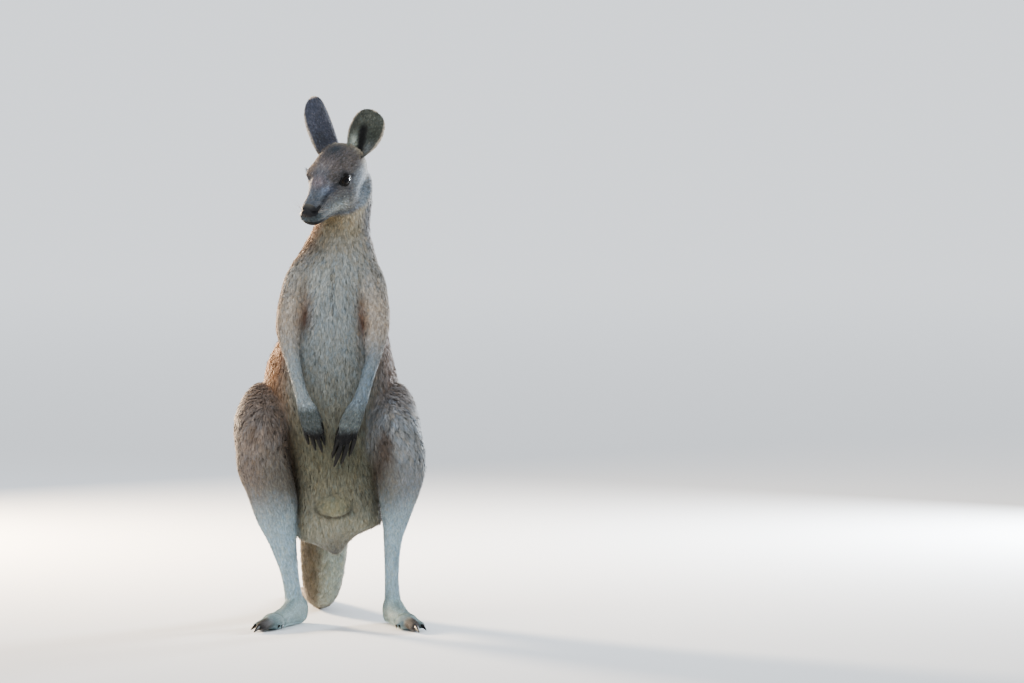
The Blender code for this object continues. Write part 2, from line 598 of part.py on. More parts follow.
def finish(nodes):
    home = bpy.data.collections.new("kangaroo")
    bpy.context.scene.collection.children.link(home)
    for obj in nodes:
        for old in list(obj.users_collection):
            old.objects.unlink(obj)
        home.objects.link(obj)
        paint(obj)
    keep = set(nodes)
    for obj in list(bpy.data.objects):
        if obj not in keep:
            bpy.data.objects.remove(obj)
    bpy.context.view_layer.update()
    corners = [v.co for obj in nodes for v in obj.data.vertices]
    shift = Vector((-(min(c.x for c in corners) + max(c.x for c in corners)) / 2,
                    -(min(c.y for c in corners) + max(c.y for c in corners)) / 2,
                    -min(c.z for c in corners)))
    for obj in nodes:
        obj.data.transform(Matrix.Translation(shift))
    print("shift", [round(v, 5) for v in shift])


made = build()
finish(made)
print("triangles", sum(len(p.vertices) - 2 for o in made for p in o.data.polygons), "nodes", len(made))
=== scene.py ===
import json
import math
import bpy
import bmesh
import numpy as np
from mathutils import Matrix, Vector
from mathutils.bvhtree import BVHTree
from mathutils.kdtree import KDTree

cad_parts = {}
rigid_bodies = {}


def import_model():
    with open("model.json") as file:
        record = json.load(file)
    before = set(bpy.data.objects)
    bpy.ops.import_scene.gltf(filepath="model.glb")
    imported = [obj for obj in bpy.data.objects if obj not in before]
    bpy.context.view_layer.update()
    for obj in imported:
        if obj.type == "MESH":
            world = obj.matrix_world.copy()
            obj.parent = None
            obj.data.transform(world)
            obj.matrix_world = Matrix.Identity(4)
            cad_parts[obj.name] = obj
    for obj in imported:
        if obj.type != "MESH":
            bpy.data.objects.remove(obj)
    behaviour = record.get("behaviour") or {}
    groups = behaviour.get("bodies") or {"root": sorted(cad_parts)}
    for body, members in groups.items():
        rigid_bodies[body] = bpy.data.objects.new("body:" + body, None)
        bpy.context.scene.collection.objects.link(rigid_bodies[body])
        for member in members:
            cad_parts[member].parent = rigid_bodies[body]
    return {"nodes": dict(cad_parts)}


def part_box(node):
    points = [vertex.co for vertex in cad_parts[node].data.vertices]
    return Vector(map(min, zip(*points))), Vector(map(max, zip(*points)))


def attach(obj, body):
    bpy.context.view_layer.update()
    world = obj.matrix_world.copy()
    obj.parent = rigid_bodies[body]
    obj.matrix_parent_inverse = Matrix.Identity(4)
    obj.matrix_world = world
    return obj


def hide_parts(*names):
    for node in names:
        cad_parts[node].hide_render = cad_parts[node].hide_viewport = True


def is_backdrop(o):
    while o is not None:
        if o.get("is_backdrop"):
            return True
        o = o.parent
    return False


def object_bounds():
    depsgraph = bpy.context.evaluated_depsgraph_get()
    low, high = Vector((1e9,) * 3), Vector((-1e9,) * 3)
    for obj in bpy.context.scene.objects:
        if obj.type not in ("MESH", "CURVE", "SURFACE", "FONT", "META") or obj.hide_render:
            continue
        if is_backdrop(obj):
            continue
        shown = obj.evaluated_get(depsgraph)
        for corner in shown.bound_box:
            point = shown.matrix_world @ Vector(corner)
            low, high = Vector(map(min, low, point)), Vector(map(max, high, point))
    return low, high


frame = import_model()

for leftover in [o for o in bpy.data.objects if o.name in ("Cube", "Camera", "Light")]:
    bpy.data.objects.remove(leftover)
cadLow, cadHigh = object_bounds()
nodes = frame["nodes"]
pick = np.random.default_rng(11)
print("frame loaded,", len(nodes), "nodes")


# small tools

def newObject(name, data):
    thing = bpy.data.objects.new(name, data)
    bpy.context.scene.collection.objects.link(thing)
    return thing


def newPiece(name, bm):
    mesh = bpy.data.meshes.new(name)
    bm.to_mesh(mesh)
    bm.free()
    return newObject(name, mesh)


def smoothed(piece, material):  # smooth shading and its one material
    for face in piece.data.polygons:
        face.use_smooth = True
    piece.data.materials.clear()
    piece.data.materials.append(material)


def softened(piece):  # two levels of subdivision, kept
    soft = piece.modifiers.new("soft", "SUBSURF")
    soft.levels = soft.render_levels = 2
    return applied(piece)


def applied(piece):  # the mesh as its modifiers leave it
    ready = piece.evaluated_get(bpy.context.evaluated_depsgraph_get())
    mesh = bpy.data.meshes.new_from_object(ready)
    piece.modifiers.clear()
    old = piece.data
    piece.data = mesh
    bpy.data.meshes.remove(old)
    return piece


def numbersOf(items, what, width, kind=np.float32):  # rows of one property of every vertex, edge or corner
    values = np.empty(len(items) * width, kind)
    items.foreach_get(what, values)
    return values.reshape(-1, width)


def pointsOf(mesh):
    return numbersOf(mesh.vertices, "co", 3).astype(float)


def normalsOf(mesh):
    return numbersOf(mesh.vertex_normals, "vector", 3).astype(float)


def putPoints(mesh, points):
    mesh.vertices.foreach_set("co", points.astype(np.float32).ravel())
    mesh.update()


def edgesOf(mesh):
    return numbersOf(mesh.edges, "vertices", 2, np.int32)


def spread(values, edges, rounds, share=0.5, back=0.0):  # neighbour averaging, share may differ by point
    values = np.array(values, float)
    flat = values.ndim == 1
    if flat:
        values = values[:, None]
    count = len(values)
    a, b = edges[:, 0], edges[:, 1]
    degree = np.maximum(np.bincount(edges.ravel(), minlength=count), 1)[:, None]
    steps = [share, -back * share] if back else [share]
    steps = [np.full((count, 1), s) if np.isscalar(s) else np.asarray(s)[:, None] for s in steps]
    for _ in range(rounds):
        for step in steps:
            total = np.empty_like(values)
            for k in range(values.shape[1]):
                column = values[:, k]
                total[:, k] = np.bincount(a, column[b], count) + np.bincount(b, column[a], count)
            values += step * (total / degree - values)
    return values[:, 0] if flat else values


def unit(vectors):
    return vectors / np.maximum(np.linalg.norm(vectors, axis=-1, keepdims=True), 1e-9)


def ease(low, high, value):  # 0 below low, 1 above high
    t = np.clip((value - low) / (high - low), 0, 1)
    return t * t * (3 - 2 * t)


def near(value, middle, width):
    return np.exp(-((value - middle) / width) ** 2)


def awayFrom(places, middle, reach):  # squared distance from a middle, measured in reaches
    return np.sum(((places - np.array(middle)) / np.array(reach)) ** 2, axis=1)


def blend(a, b, mask):
    mask = np.asarray(mask)[..., None]
    return np.asarray(a) * (1 - mask) + np.asarray(b) * mask


def blob(*terms):  # a soft round spot: pairs of a distance and its reach
    return np.exp(-sum((away / reach) ** 2 for away, reach in terms))


# the head's own axes: ahead, left, up from between the eyes

def axesOfHead():
    turn, nod, roll = math.radians(33.5), math.radians(29.5), math.radians(6)
    ahead = Vector((-math.sin(turn) * math.cos(nod), -math.cos(turn) * math.cos(nod), -math.sin(nod)))
    level = Vector((math.cos(turn), -math.sin(turn), 0))
    left = level * math.cos(roll) - ahead.cross(level) * math.sin(roll)
    return ahead, left, ahead.cross(left)


eyePlan = {"radius": 0.0155, "gaze": (0.42, 0.9, 0.1), "wide": 0.96, "tallUp": 0.72, "tallDown": 0.6}
ahead, left, up = axesOfHead()
eyeBalls = {}
for side, sign in (("R", -1), ("L", 1)):
    low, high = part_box("eye_" + side)
    x = high.x - eyePlan["radius"] if sign > 0 else low.x + eyePlan["radius"]
    eyeBalls[side] = Vector((x, (low.y + high.y) / 2, (low.z + high.z) / 2))
headMiddle = (eyeBalls["R"] + eyeBalls["L"]) / 2
headAxes = np.array([ahead, left, up])


def inHead(points):
    return (points - np.array(headMiddle)) @ headAxes.T


# the skin: every node of flesh made one smooth closed form

skinPlan = {
    "voxel": 0.0021, "swell": 0.0013, "triangles": 150000, "spareHead": 0.55, "creaseFrom": 52,
    "evenings": 26, "evenBack": 1.02, "fineAbove": 0.9}
swells = {
    "neck": 0.0021, "head": 0.0017, "ear_R": 0.0011, "ear_L": 0.0011, "hand_R": 0.001, "hand_L": 0.001,
    "toes_R": 0.0009, "toes_L": 0.0009, "eye_R": 0.0009, "eye_L": 0.0009}
fleshNames = [
    "trunk", "neck", "head", "ear_R", "ear_L", "tail_base", "tail_middle", "tail_tip", "upper_arm_R",
    "upper_arm_L", "forearm_R", "forearm_L", "hand_R", "hand_L", "thigh_R", "thigh_L", "shank_R", "shank_L",
    "foot_R", "foot_L", "toes_R", "toes_L"]
softNames = fleshNames + ["eye_R", "eye_L"]


def isNode(owners, name):
    return owners == softNames.index(name)


def onHead(owners):  # the head and the eyes set in it
    return isNode(owners, "head") | (owners >= len(fleshNames))


def softCopy(name):
    bm = bmesh.new()
    bm.from_mesh(nodes[name].data)
    bmesh.ops.remove_doubles(bm, verts=bm.verts[:], dist=1e-6)
    crease = bm.edges.layers.float.new("crease_edge")
    for edge in bm.edges:
        if edge.calc_face_angle(0.0) > math.radians(skinPlan["creaseFrom"]):
            edge[crease] = 1.0
    piece = softened(newPiece("soft_" + name, bm))
    putPoints(piece.data, pointsOf(piece.data) + normalsOf(piece.data) * swells.get(name, skinPlan["swell"]))
    return piece


def outerShell(piece):  # drops closed hollows left inside
    bm = bmesh.new()
    bm.from_mesh(piece.data)
    bm.verts.ensure_lookup_table()
    top = max(bm.verts, key=lambda v: v.co.z)
    seen, waiting = {top.index}, [top]
    while waiting:
        vert = waiting.pop()
        for edge in vert.link_edges:
            other = edge.other_vert(vert)
            if other.index not in seen:
                seen.add(other.index)
                waiting.append(other)
    bmesh.ops.delete(bm, geom=[v for v in bm.verts if v.index not in seen], context="VERTS")
    bm.to_mesh(piece.data)
    bm.free()


def wholeSkin():
    bm = bmesh.new()
    for name in softNames:
        part = softCopy(name)
        bm.from_mesh(part.data)
        bpy.data.meshes.remove(part.data)
    skin = newPiece("skin", bm)
    remesh = skin.modifiers.new("whole", "REMESH")
    remesh.mode = "VOXEL"
    remesh.voxel_size = skinPlan["voxel"]
    remesh.adaptivity = 0
    applied(skin)
    outerShell(skin)
    return skin


def nodeAt(points):  # which node of flesh each point belongs to
    bm, owners = bmesh.new(), []
    for number, name in enumerate(softNames):
        bm.from_mesh(nodes[name].data)
        owners += [number] * len(nodes[name].data.polygons)
    tree = BVHTree.FromBMesh(bm)
    bm.free()
    return np.array(owners)[[tree.find_nearest(point)[2] for point in points.tolist()]]


def byNode(owners, table, usual):  # a number or a row for each point from a table of node names
    rows = []
    for name in softNames:
        key = name if name in table else name[:-2]
        rows.append(table.get(key, usual))
    return np.array(rows, float)[owners]


def thinned(piece, triangles):
    y, z = pointsOf(piece.data).T[1:]
    hands = (y < -0.408) & (z > 0.37) & (z < 0.53)
    toes = (z < 0.045) & (y < -0.33)
    fine = (z > skinPlan["fineAbove"]) | hands | toes
    coarse = piece.vertex_groups.new(name="coarse")
    coarse.add(np.nonzero(~fine)[0].tolist(), 1.0, "REPLACE")
    coarse.add(np.nonzero(fine)[0].tolist(), skinPlan["spareHead"], "REPLACE")
    thin = piece.modifiers.new("thin", "DECIMATE")
    thin.ratio = triangles / (2 * len(piece.data.polygons))
    thin.vertex_group = "coarse"
    applied(piece)
    piece.vertex_groups.clear()


skin = wholeSkin()
print("skin whole,", len(skin.data.polygons), "faces")
evenness = {"trunk": 0.5, "neck": 0.5, "head": 0.4, "ear": 0.22, "hand": 0.1, "toes": 0.12,
            "foot": 0.3, "eye": 0.2, "forearm": 0.4}
places = pointsOf(skin.data)
share = spread(byNode(nodeAt(places), evenness, 0.5), edgesOf(skin.data), 6)
even = spread(places, edgesOf(skin.data), skinPlan["evenings"], share, skinPlan["evenBack"])
putPoints(skin.data, even)
thinned(skin, skinPlan["triangles"])
print("skin evened and thinned to", len(skin.data.polygons), "faces")


# how deep the coat is over the skin, before the face is shaped

coatDepth = {
    "trunk": 0.0058, "neck": 0.0042, "head": 0.0016, "ear": 0.0007, "tail_base": 0.0045,
    "tail_middle": 0.0035, "tail_tip": 0.003, "upper_arm": 0.0034, "forearm": 0.0022, "hand": 0.0009,
    "thigh": 0.0055, "shank": 0.0024, "foot": 0.0014, "toes": 0.0009, "eye": 0.0}


def insetSkin():
    places, edges = pointsOf(skin.data), edgesOf(skin.data)
    owners = nodeAt(places)
    swell = spread(byNode(owners, swells, skinPlan["swell"]), edges, 3)
    muzzle = ease(0.0, 0.085, inHead(places)[:, 0]) * isNode(owners, "head")
    depth = spread(byNode(owners, coatDepth, 0.004) * (1 - 0.75 * muzzle), edges, 14)
    putPoints(skin.data, places - normalsOf(skin.data) * (depth + swell)[:, None])


moundPlan = {
    "x": 0.009, "z": 0.28, "wide": 0.036, "tall": 0.024, "rise": 0.0042, "crease": 0.0038,
    "groinFill": 0.0046}


def aroundMound(points):  # 1 at the edge of the soft fold low on the belly
    x, y, z = points.T
    across, above = (x - moundPlan["x"]) / moundPlan["wide"], (z - moundPlan["z"]) / moundPlan["tall"]
    return np.hypot(across, above) + 10 * (y > -0.3)


def raiseMound(points, normals):
    x, y, z = points.T
    around = aroundMound(points)
    push = moundPlan["rise"] * ease(1.0, 0.55, around)
    push = push - moundPlan["crease"] * near(around, 1.06, 0.13) * ease(0.294, 0.268, z)
    groin = np.exp(-((x + 0.078) / 0.014) ** 2 - ((z - 0.288) / 0.034) ** 2) * (y < -0.2)
    push += moundPlan["groinFill"] * groin
    return points + normals * push[:, None]


insetSkin()
putPoints(skin.data, raiseMound(pointsOf(skin.data), normalsOf(skin.data)))


# the face: lids round the eyeballs, nose, nostrils and mouth, all in the head's own axes

facePlan = {
    "nostril": (0.0995, 0.0165, -0.0272), "nostrilLong": 0.0085, "nostrilTall": 0.0026,
    "nostrilDepth": 0.0042, "mouthFront": -0.0475, "mouthBack": -0.0585, "mouthEnd": 0.056,
    "mouthDepth": 0.0014, "upperLip": 0.0009, "splitLip": 0.0009, "padEdge": 0.0005, "padCrown": 0.0008,
    "eyeHollow": 0.0055}


def refined(where):  # halves every edge inside the region
    bm = bmesh.new()
    bm.from_mesh(skin.data)
    inside = where(pointsOf(skin.data))
    edges = [e for e in bm.edges if inside[e.verts[0].index] and inside[e.verts[1].index]]
    bmesh.ops.subdivide_edges(bm, edges=edges, cuts=1, use_grid_fill=True)
    bmesh.ops.triangulate(bm, faces=[f for f in bm.faces if len(f.verts) > 4])
    bm.to_mesh(skin.data)
    bm.free()


def eyeAxes(side):
    sign = 1 if side == "L" else -1
    g = eyePlan["gaze"]
    gaze = (ahead * g[0] + left * g[1] * sign + up * g[2]).normalized()
    across = (ahead - gaze * ahead.dot(gaze)).normalized()  # towards the nose
    return np.array(gaze), np.array(across), np.array(gaze.cross(across) * -sign)


def lidMeasure(points, side):  # metres outside the edge of the lids, how far it faces out, height, radius
    gaze, across, above = eyeAxes(side)
    away = points - np.array(eyeBalls[side])
    radius = np.linalg.norm(away, axis=1)
    out = away @ gaze
    a, b = np.arctan2(away @ across, out), np.arctan2(away @ above, out)
    tall = np.where(b > 0, eyePlan["tallUp"], eyePlan["tallDown"])
    wide = eyePlan["wide"]
    q = (np.abs(b) / tall) ** 1.7 + (np.abs(a) / wide) ** 1.8
    slope = np.hypot(1.7 / tall * (np.abs(b) / tall) ** 0.7, 1.8 / wide * (np.abs(a) / wide) ** 0.8)
    edge = (q - 1) / np.maximum(slope, 0.35) * eyePlan["radius"]
    return edge, out / np.maximum(radius, 1e-6), b, radius


def aroundEye(reach):
    def inside(points):
        hit = np.zeros(len(points), bool)
        for side in "RL":
            edge, facing, b, radius = lidMeasure(points, side)
            close = (edge < reach) & (facing > 0.25) & (radius < 0.03)
            hit |= close & (edge > -0.004) if reach < 0.004 else close
        return hit
    return inside


def shapeLids(points):
    r = eyePlan["radius"]
    for side in "RL":
        centre = np.array(eyeBalls[side])
        edge, facing, b, radius = lidMeasure(points, side)
        rim = 0.0005 + 0.0013 * np.sqrt(np.clip(edge / 0.0016, 0, 1)) + 0.0006 * ease(0.0016, 0.005, edge)
        fold = -0.0007 * near(edge, 0.0043, 0.0008) * ease(0.0, 0.25, b)
        fold = fold - 0.0004 * near(edge, 0.004, 0.0008) * ease(0.1, -0.2, b)
        target = r + np.where(edge > 0, rim + fold, -0.0032 * ease(0.0, 0.0011, -edge) + 0.0005)
        mine = ease(0.0095, 0.004, edge) * ease(0.15, 0.4, facing) * (radius < 0.034)
        moved = radius + (target - radius) * mine
        points = centre + (points - centre) * (moved / np.maximum(radius, 1e-6))[:, None]
    return points


def noseMask(s, t, u):  # the bare pad and its wings, which run back beside the nostrils
    pad = ((s - 0.1105) / 0.0205) ** 2 + (t / 0.0275) ** 2 + ((u + 0.0215) / 0.015) ** 2
    back = np.clip((0.106 - s) / 0.02, 0, 1)
    wing = np.hypot(s - 0.106 + 0.02 * back, u + 0.029 - 0.005 * back) / (0.0066 - 0.0022 * back)
    return np.maximum(ease(1.25, 0.85, pad), ease(1.2, 0.8, wing) * (np.abs(t) > 0.008))


def nostrilMask(s, t, u):
    middle = facePlan["nostril"]
    ds, dt, du = s - middle[0], np.abs(t) - middle[1], u - middle[2]
    along = (-ds * 0.75 + dt * 0.66) + 0.25 * du
    cross = du + 0.3 * along - 26.0 * along ** 2
    hole = np.exp(-(along / facePlan["nostrilLong"]) ** 2 - (cross / facePlan["nostrilTall"]) ** 2)
    return hole * ease(0.075, 0.088, s)


def mouthLevel(s):
    k = np.clip((s - facePlan["mouthEnd"]) / (0.112 - facePlan["mouthEnd"]), 0, 1)
    return facePlan["mouthBack"] + (facePlan["mouthFront"] - facePlan["mouthBack"]) * k ** 2.2


def mouthMask(s, t, u, width):  # t is not used; it is taken as the other masks take it
    return near(u, mouthLevel(s), width) * ease(facePlan["mouthEnd"], facePlan["mouthEnd"] + 0.008, s)


def shapeMuzzle(points, normals):
    s, t, u = inHead(points).T
    side = np.abs(t)
    onFace = (s > 0.03) & (points[:, 2] > 0.88)
    push = -facePlan["nostrilDepth"] * nostrilMask(s, t, u)
    push += facePlan["padCrown"] * blob((side - 0.0125, 0.008), (u + 0.0215, 0.004), (s - 0.101, 0.01))
    push -= facePlan["mouthDepth"] * mouthMask(s, t, u, 0.0011)
    push += facePlan["upperLip"] * near(u, mouthLevel(s) + 0.0035, 0.003) * ease(0.04, 0.07, s)
    split = facePlan["splitLip"] * near(t, 0.0, 0.0012) * ease(-0.049, -0.045, u)
    push -= split * ease(-0.026, -0.032, u) * ease(0.1, 0.106, s)
    push -= facePlan["padEdge"] * near(noseMask(s, t, u), 0.5, 0.22)
    hollow = np.exp(-((s - 0.031) / 0.013) ** 2 - ((side - 0.027) / 0.01) ** 2 - ((u - 0.016) / 0.013) ** 2)
    push -= facePlan["eyeHollow"] * hollow
    return points + normals * (push * onFace)[:, None]


def shapeFace():
    refined(aroundEye(0.0075))
    refined(aroundEye(0.0038))
    refined(lambda p: (inHead(p)[:, 0] > 0.083) & (p[:, 2] > 0.89))
    refined(lambda p: (nostrilMask(*inHead(p).T) > 0.02) & (p[:, 2] > 0.89))
    refined(lambda p: (mouthMask(*inHead(p).T, 0.0035) > 0.25) & (p[:, 2] > 0.89))
    putPoints(skin.data, shapeLids(pointsOf(skin.data)))
    putPoints(skin.data, shapeMuzzle(pointsOf(skin.data), normalsOf(skin.data)))


shapeFace()
print("face shaped,", sum(len(f.vertices) - 2 for f in skin.data.polygons), "triangles of skin")


# markings with painted light and shade: one set of colours that skin and coat both read

hues = {
    # the warm brown at the shoulders' edge is browner fur towards the back, warmed by painted sunlight along
    # the lit edge
    "shoulder": (0.255, 0.25, 0.228), "shoulderEdgeSunlit": (0.215, 0.125, 0.074), "back": (0.13, 0.098, 0.078),
    # the flank's rufous is partly real fur and partly painted sunlight, warmest on the right side
    "flank": (0.3, 0.15, 0.068), "flankLeft": (0.19, 0.15, 0.13), "neckSide": (0.205, 0.205, 0.205),
    # the fold colour is painted shade in the gap between belly and right thigh
    "throat": (0.262, 0.2, 0.112), "rust": (0.095, 0.034, 0.011), "fold": (0.042, 0.027, 0.017),
    "mound": (0.27, 0.262, 0.178), "vent": (0.025, 0.026, 0.034), "thigh": (0.19, 0.162, 0.142),
    # the left thigh's bluer grey is painted cool shade
    "thighLeftShaded": (0.215, 0.23, 0.24), "thighBack": (0.16, 0.112, 0.084), "thighInner": (0.14, 0.135, 0.118),
    # shin and forearm: pale grey fur with a painted cool cast of shade
    "shin": (0.355, 0.46, 0.52), "upperArm": (0.37, 0.322, 0.268), "forearm": (0.28, 0.315, 0.325),
    # the left forearm is darker and bluer as painted shade
    "forearmLeftShaded": (0.19, 0.232, 0.262), "hand": (0.088, 0.1, 0.098), "finger": (0.014, 0.014, 0.015),
    # foot: pale grey fur with a painted cool cast of shade
    "foot": (0.36, 0.47, 0.48), "toe": (0.09, 0.086, 0.084), "tailTop": (0.085, 0.058, 0.038),
    "tailUnder": (0.098, 0.082, 0.056), "tailEnd": (0.06, 0.048, 0.04), "face": (0.145, 0.147, 0.15),
    "crown": (0.06, 0.06, 0.068), "brow": (0.118, 0.106, 0.1), "bridge": (0.098, 0.113, 0.134),
    "stripe": (0.034, 0.038, 0.048), "lip": (0.175, 0.2, 0.215), "cheek": (0.13, 0.145, 0.152),
    # the nose pad's lighter top is painted light falling on it
    "cheekBack": (0.165, 0.192, 0.22), "nose": (0.005, 0.005, 0.006), "noseTopLit": (0.085, 0.08, 0.066),
    "mouth": (0.009, 0.009, 0.009), "lidRim": (0.006, 0.006, 0.006), "browDark": (0.058, 0.058, 0.062),
    "earBack": (0.08, 0.086, 0.112), "earInside": (0.09, 0.096, 0.08), "earSlot": (0.008, 0.008, 0.008),
    # the ears' pale rim fringe is brightened as painted backlight
    "earRimBacklit": (0.8, 0.69, 0.57), "earHair": (0.56, 0.6, 0.52), "earLobe": (0.15, 0.16, 0.165),
    "lipDark": (0.048, 0.062, 0.068), "handLeft": (0.13, 0.148, 0.146), "shade": (0.165, 0.138, 0.092),
    # the groin colour is painted shade in the crease between belly and left thigh
    "pale": (0.37, 0.375, 0.36), "groin": (0.05, 0.026, 0.012), "browSunlit": (0.24, 0.19, 0.155),
    # the warm patch on the neck's right side is painted sunlight
    "collar": (0.082, 0.072, 0.056), "tailLit": (0.3, 0.34, 0.3), "neckSunlit": (0.33, 0.175, 0.085)}
# the front's colour by height: darker at 0.35 to 0.46 as painted shade low on the belly between the thighs,
# lighter at 0.2 to 0.25 as painted light through between the legs
underside = {
    "heights": [0.16, 0.2, 0.25, 0.3, 0.35, 0.4, 0.46, 0.52, 0.58, 0.66, 0.74, 0.82, 0.86, 0.9],
    "red": [0.18, 0.25, 0.26, 0.17, 0.135, 0.125, 0.15, 0.185, 0.207, 0.25, 0.28, 0.3, 0.28, 0.285],
    "green": [0.18, 0.25, 0.26, 0.17, 0.133, 0.123, 0.147, 0.187, 0.218, 0.278, 0.302, 0.318, 0.272, 0.255],
    "blue": [0.165, 0.21, 0.205, 0.138, 0.098, 0.084, 0.113, 0.158, 0.205, 0.28, 0.298, 0.302, 0.24, 0.185]}
middleOfBody = {
    "heights": [0.15, 0.2, 0.26, 0.36, 0.44, 0.52, 0.6, 0.7, 0.8, 0.86, 0.9, 0.98, 1.03],
    "across": [0.006, -0.008, 0.017, 0.012, 0.004, -0.001, 0.0, 0.01, 0.011, 0.018, 0.024, 0.04, 0.043],
    "along": [-0.232, -0.232, -0.236, -0.242, -0.247, -0.252, -0.262, -0.274, -0.281, -0.283, -0.283,
        -0.272, -0.274]}
# soft patches of the body, by colour: middle, reach along x, y and z, strength
patches = {
    "pale": [((-0.085, -0.36, 0.79), (0.018, 0.06, 0.03), 0.5),
        ((-0.048, -0.36, 0.826), (0.03, 0.06, 0.013), 0.5),
        ((0.078, -0.36, 0.775), (0.018, 0.06, 0.03), 0.5),
        ((0.042, -0.36, 0.82), (0.026, 0.06, 0.014), 0.5)],
    "shade": [((-0.062, -0.37, 0.756), (0.013, 0.06, 0.042), 0.6),
        ((0.062, -0.37, 0.757), (0.013, 0.06, 0.042), 0.6)],
    "rust": [((0.07, -0.36, 0.708), (0.014, 0.03, 0.034), 0.9),
        ((-0.055, -0.36, 0.712), (0.014, 0.03, 0.036), 1.0),
        ((0.076, -0.362, 0.68), (0.008, 0.03, 0.03), 0.75)],
    # painted shade in the crease between belly and left thigh
    "groin": [((0.124, -0.385, 0.415), (0.016, 0.08, 0.048), 1.0),
        ((0.106, -0.34, 0.362), (0.013, 0.08, 0.04), 0.75)],
    "collar": [((-0.034, -0.36, 0.858), (0.028, 0.08, 0.026), 0.95)],
    # painted shade in the gap between belly and right thigh
    "fold": [((-0.096, -0.342, 0.425), (0.012, 0.06, 0.045), 0.95),
        ((-0.087, -0.312, 0.37), (0.011, 0.06, 0.05), 0.85)],
    "vent": [((0.004, -0.256, 0.174), (0.014, 0.035, 0.016), 1.0)]}


def roundBody(points):  # where a point sits round the trunk: sideways and forwards of its middle line
    x, y, z = points.T
    m = middleOfBody
    return x - np.interp(z, m["heights"], m["across"]), np.interp(z, m["heights"], m["along"]) - y


def layered(hue, *layers):  # each layer: the name of a colour and how far it covers
    for key, mask in layers:
        hue = blend(hue, hues[key], mask)
    return hue


def bodyHue(points):  # trunk and neck as one form
    x, z = points[:, 0], points[:, 2]
    side, front = roundBody(points)
    turn = np.arctan2(np.abs(side), front)  # 0 at the front, pi at the spine
    forward = ease(2.6, 2.0, turn)
    onRight = side < 0
    under = [np.interp(z, underside["heights"], underside[c]) for c in ("red", "green", "blue")]
    # the right flank keeps the warm rufous, partly painted sunlight; the left turns greyer
    upper = layered(hues["flank"], ("flankLeft", ease(-0.03, 0.03, side)), ("shoulder", ease(0.7, 0.8, z)),
                    ("back", np.maximum(ease(1.42, 2.0, turn), ease(0.38, 0.3, z))),
                    ("neckSide", ease(0.83, 0.88, z) * forward))
    edge = np.interp(z, [0.2, 0.35, 0.5, 0.7, 0.8, 0.86, 0.9], [1.3, 1.05, 0.8, 0.92, 1.1, 1.0, 0.9])
    # painted warm sunlight along the shoulders' edge, stronger on the right side, over fur that browns
    # towards the back
    rim = ease(np.where(onRight, 0.85, 1.15), np.where(onRight, 1.4, 1.75), turn) * near(z, 0.8, 0.11)
    throat = near(z, 0.922, 0.022) * ease(1.3, 0.5, turn + 6 * np.maximum(side, 0))
    # painted warm sunlight on the right side of the neck
    neckSun = near(z, 0.89, 0.045) * ease(0.7, 1.3, turn) * ease(0.0, -0.02, side)
    bulge = blob((x - 0.009, 0.034), (z - 0.28, 0.022)) * (front > 0)
    return layered(blend(np.column_stack(under), upper, ease(-0.28, 0.38, turn - edge)),
                   ("shoulderEdgeSunlit", rim * np.where(onRight, 0.9, 0.5) * forward), ("throat", 0.85 * throat),
                   ("neckSunlit", 0.85 * neckSun), ("mound", ease(0.25, 0.6, bulge)))


def legHue(points):
    x, y, z = points.T
    outer = np.where(x > 0, x - 0.135, -0.135 - x)
    # the left thigh, shins and feet carry painted cool shade
    return layered(hues["thigh"], ("thighLeftShaded", ease(-0.05, 0.05, x)),
                   ("thighBack", ease(-0.34, -0.16, y) * 0.75),
                   ("thighBack", 0.55 * ease(0.46, 0.54, z)),
                   ("thighInner", 0.85 * ease(0.04, -0.005, outer) * ease(0.45, 0.37, z)),
                   ("shin", ease(0.305, 0.235, z)), ("foot", ease(0.08, 0.05, z)),
                   ("toe", ease(-0.375, -0.425, y) * ease(0.05, 0.03, z)))


def tailHue(points, normals):
    y = points[:, 1]
    nx, ny, nz = normals.T
    return layered(hues["tailTop"], ("tailUnder", ease(0.25, -0.45, nz - 0.5 * ease(-0.1, -0.2, y))),
                   ("tailLit", ease(-0.05, 0.6, nx - 0.4 * nz) * ease(0.14, 0.02, y) * ease(0.1, -0.35, ny)),
                   ("tailEnd", ease(0.26, 0.4, y)))


def armHue(points, normals):
    x, z = points[:, 0], points[:, 2]
    outward = np.where(x > 0, normals[:, 0] * 0.6, -normals[:, 0]) + 0.5 * normals[:, 1]
    # the forearms carry a painted cool cast, the left one darker as painted shade
    lower = blend(hues["forearm"], hues["forearmLeftShaded"], ease(-0.02, 0.02, x))
    palm = blend(hues["hand"], hues["handLeft"], ease(-0.01, 0.01, x))
    # painted warm sunlight on the upper arm's outer side
    hue = layered(blend(hues["upperArm"], lower, ease(0.68, 0.6, z)), ("shoulder", ease(0.72, 0.8, z)),
                  ("shoulderEdgeSunlit", 0.8 * ease(0.35, 0.95, outward) * ease(0.56, 0.66, z)))
    return layered(blend(hue, palm, ease(0.512, 0.49, z)), ("finger", ease(0.462, 0.44, z)))


def coatHue(points, normals, owners):
    hue, z = bodyHue(points), points[:, 2]
    leg = byNode(owners, dict.fromkeys(["thigh", "shank", "foot", "toes"], 1), 0) > 0
    tail = byNode(owners, dict.fromkeys(["tail_base", "tail_middle", "tail_tip"], 1), 0) > 0
    arm = byNode(owners, dict.fromkeys(["upper_arm", "forearm", "hand"], 1), 0) > 0
    for mine, onPart in ((leg, legHue(points)), (tail, tailHue(points, normals)),
                         (arm, armHue(points, normals))):
        hue = np.where(mine[:, None], onPart, hue)
    torso = ~tail & (z < 0.92)
    for key, places in patches.items():
        for middle, reach, strength in places:
            hue = layered(hue, (key, strength * np.exp(-awayFrom(points, middle, reach) ** 1.5) * torso))
    return hue


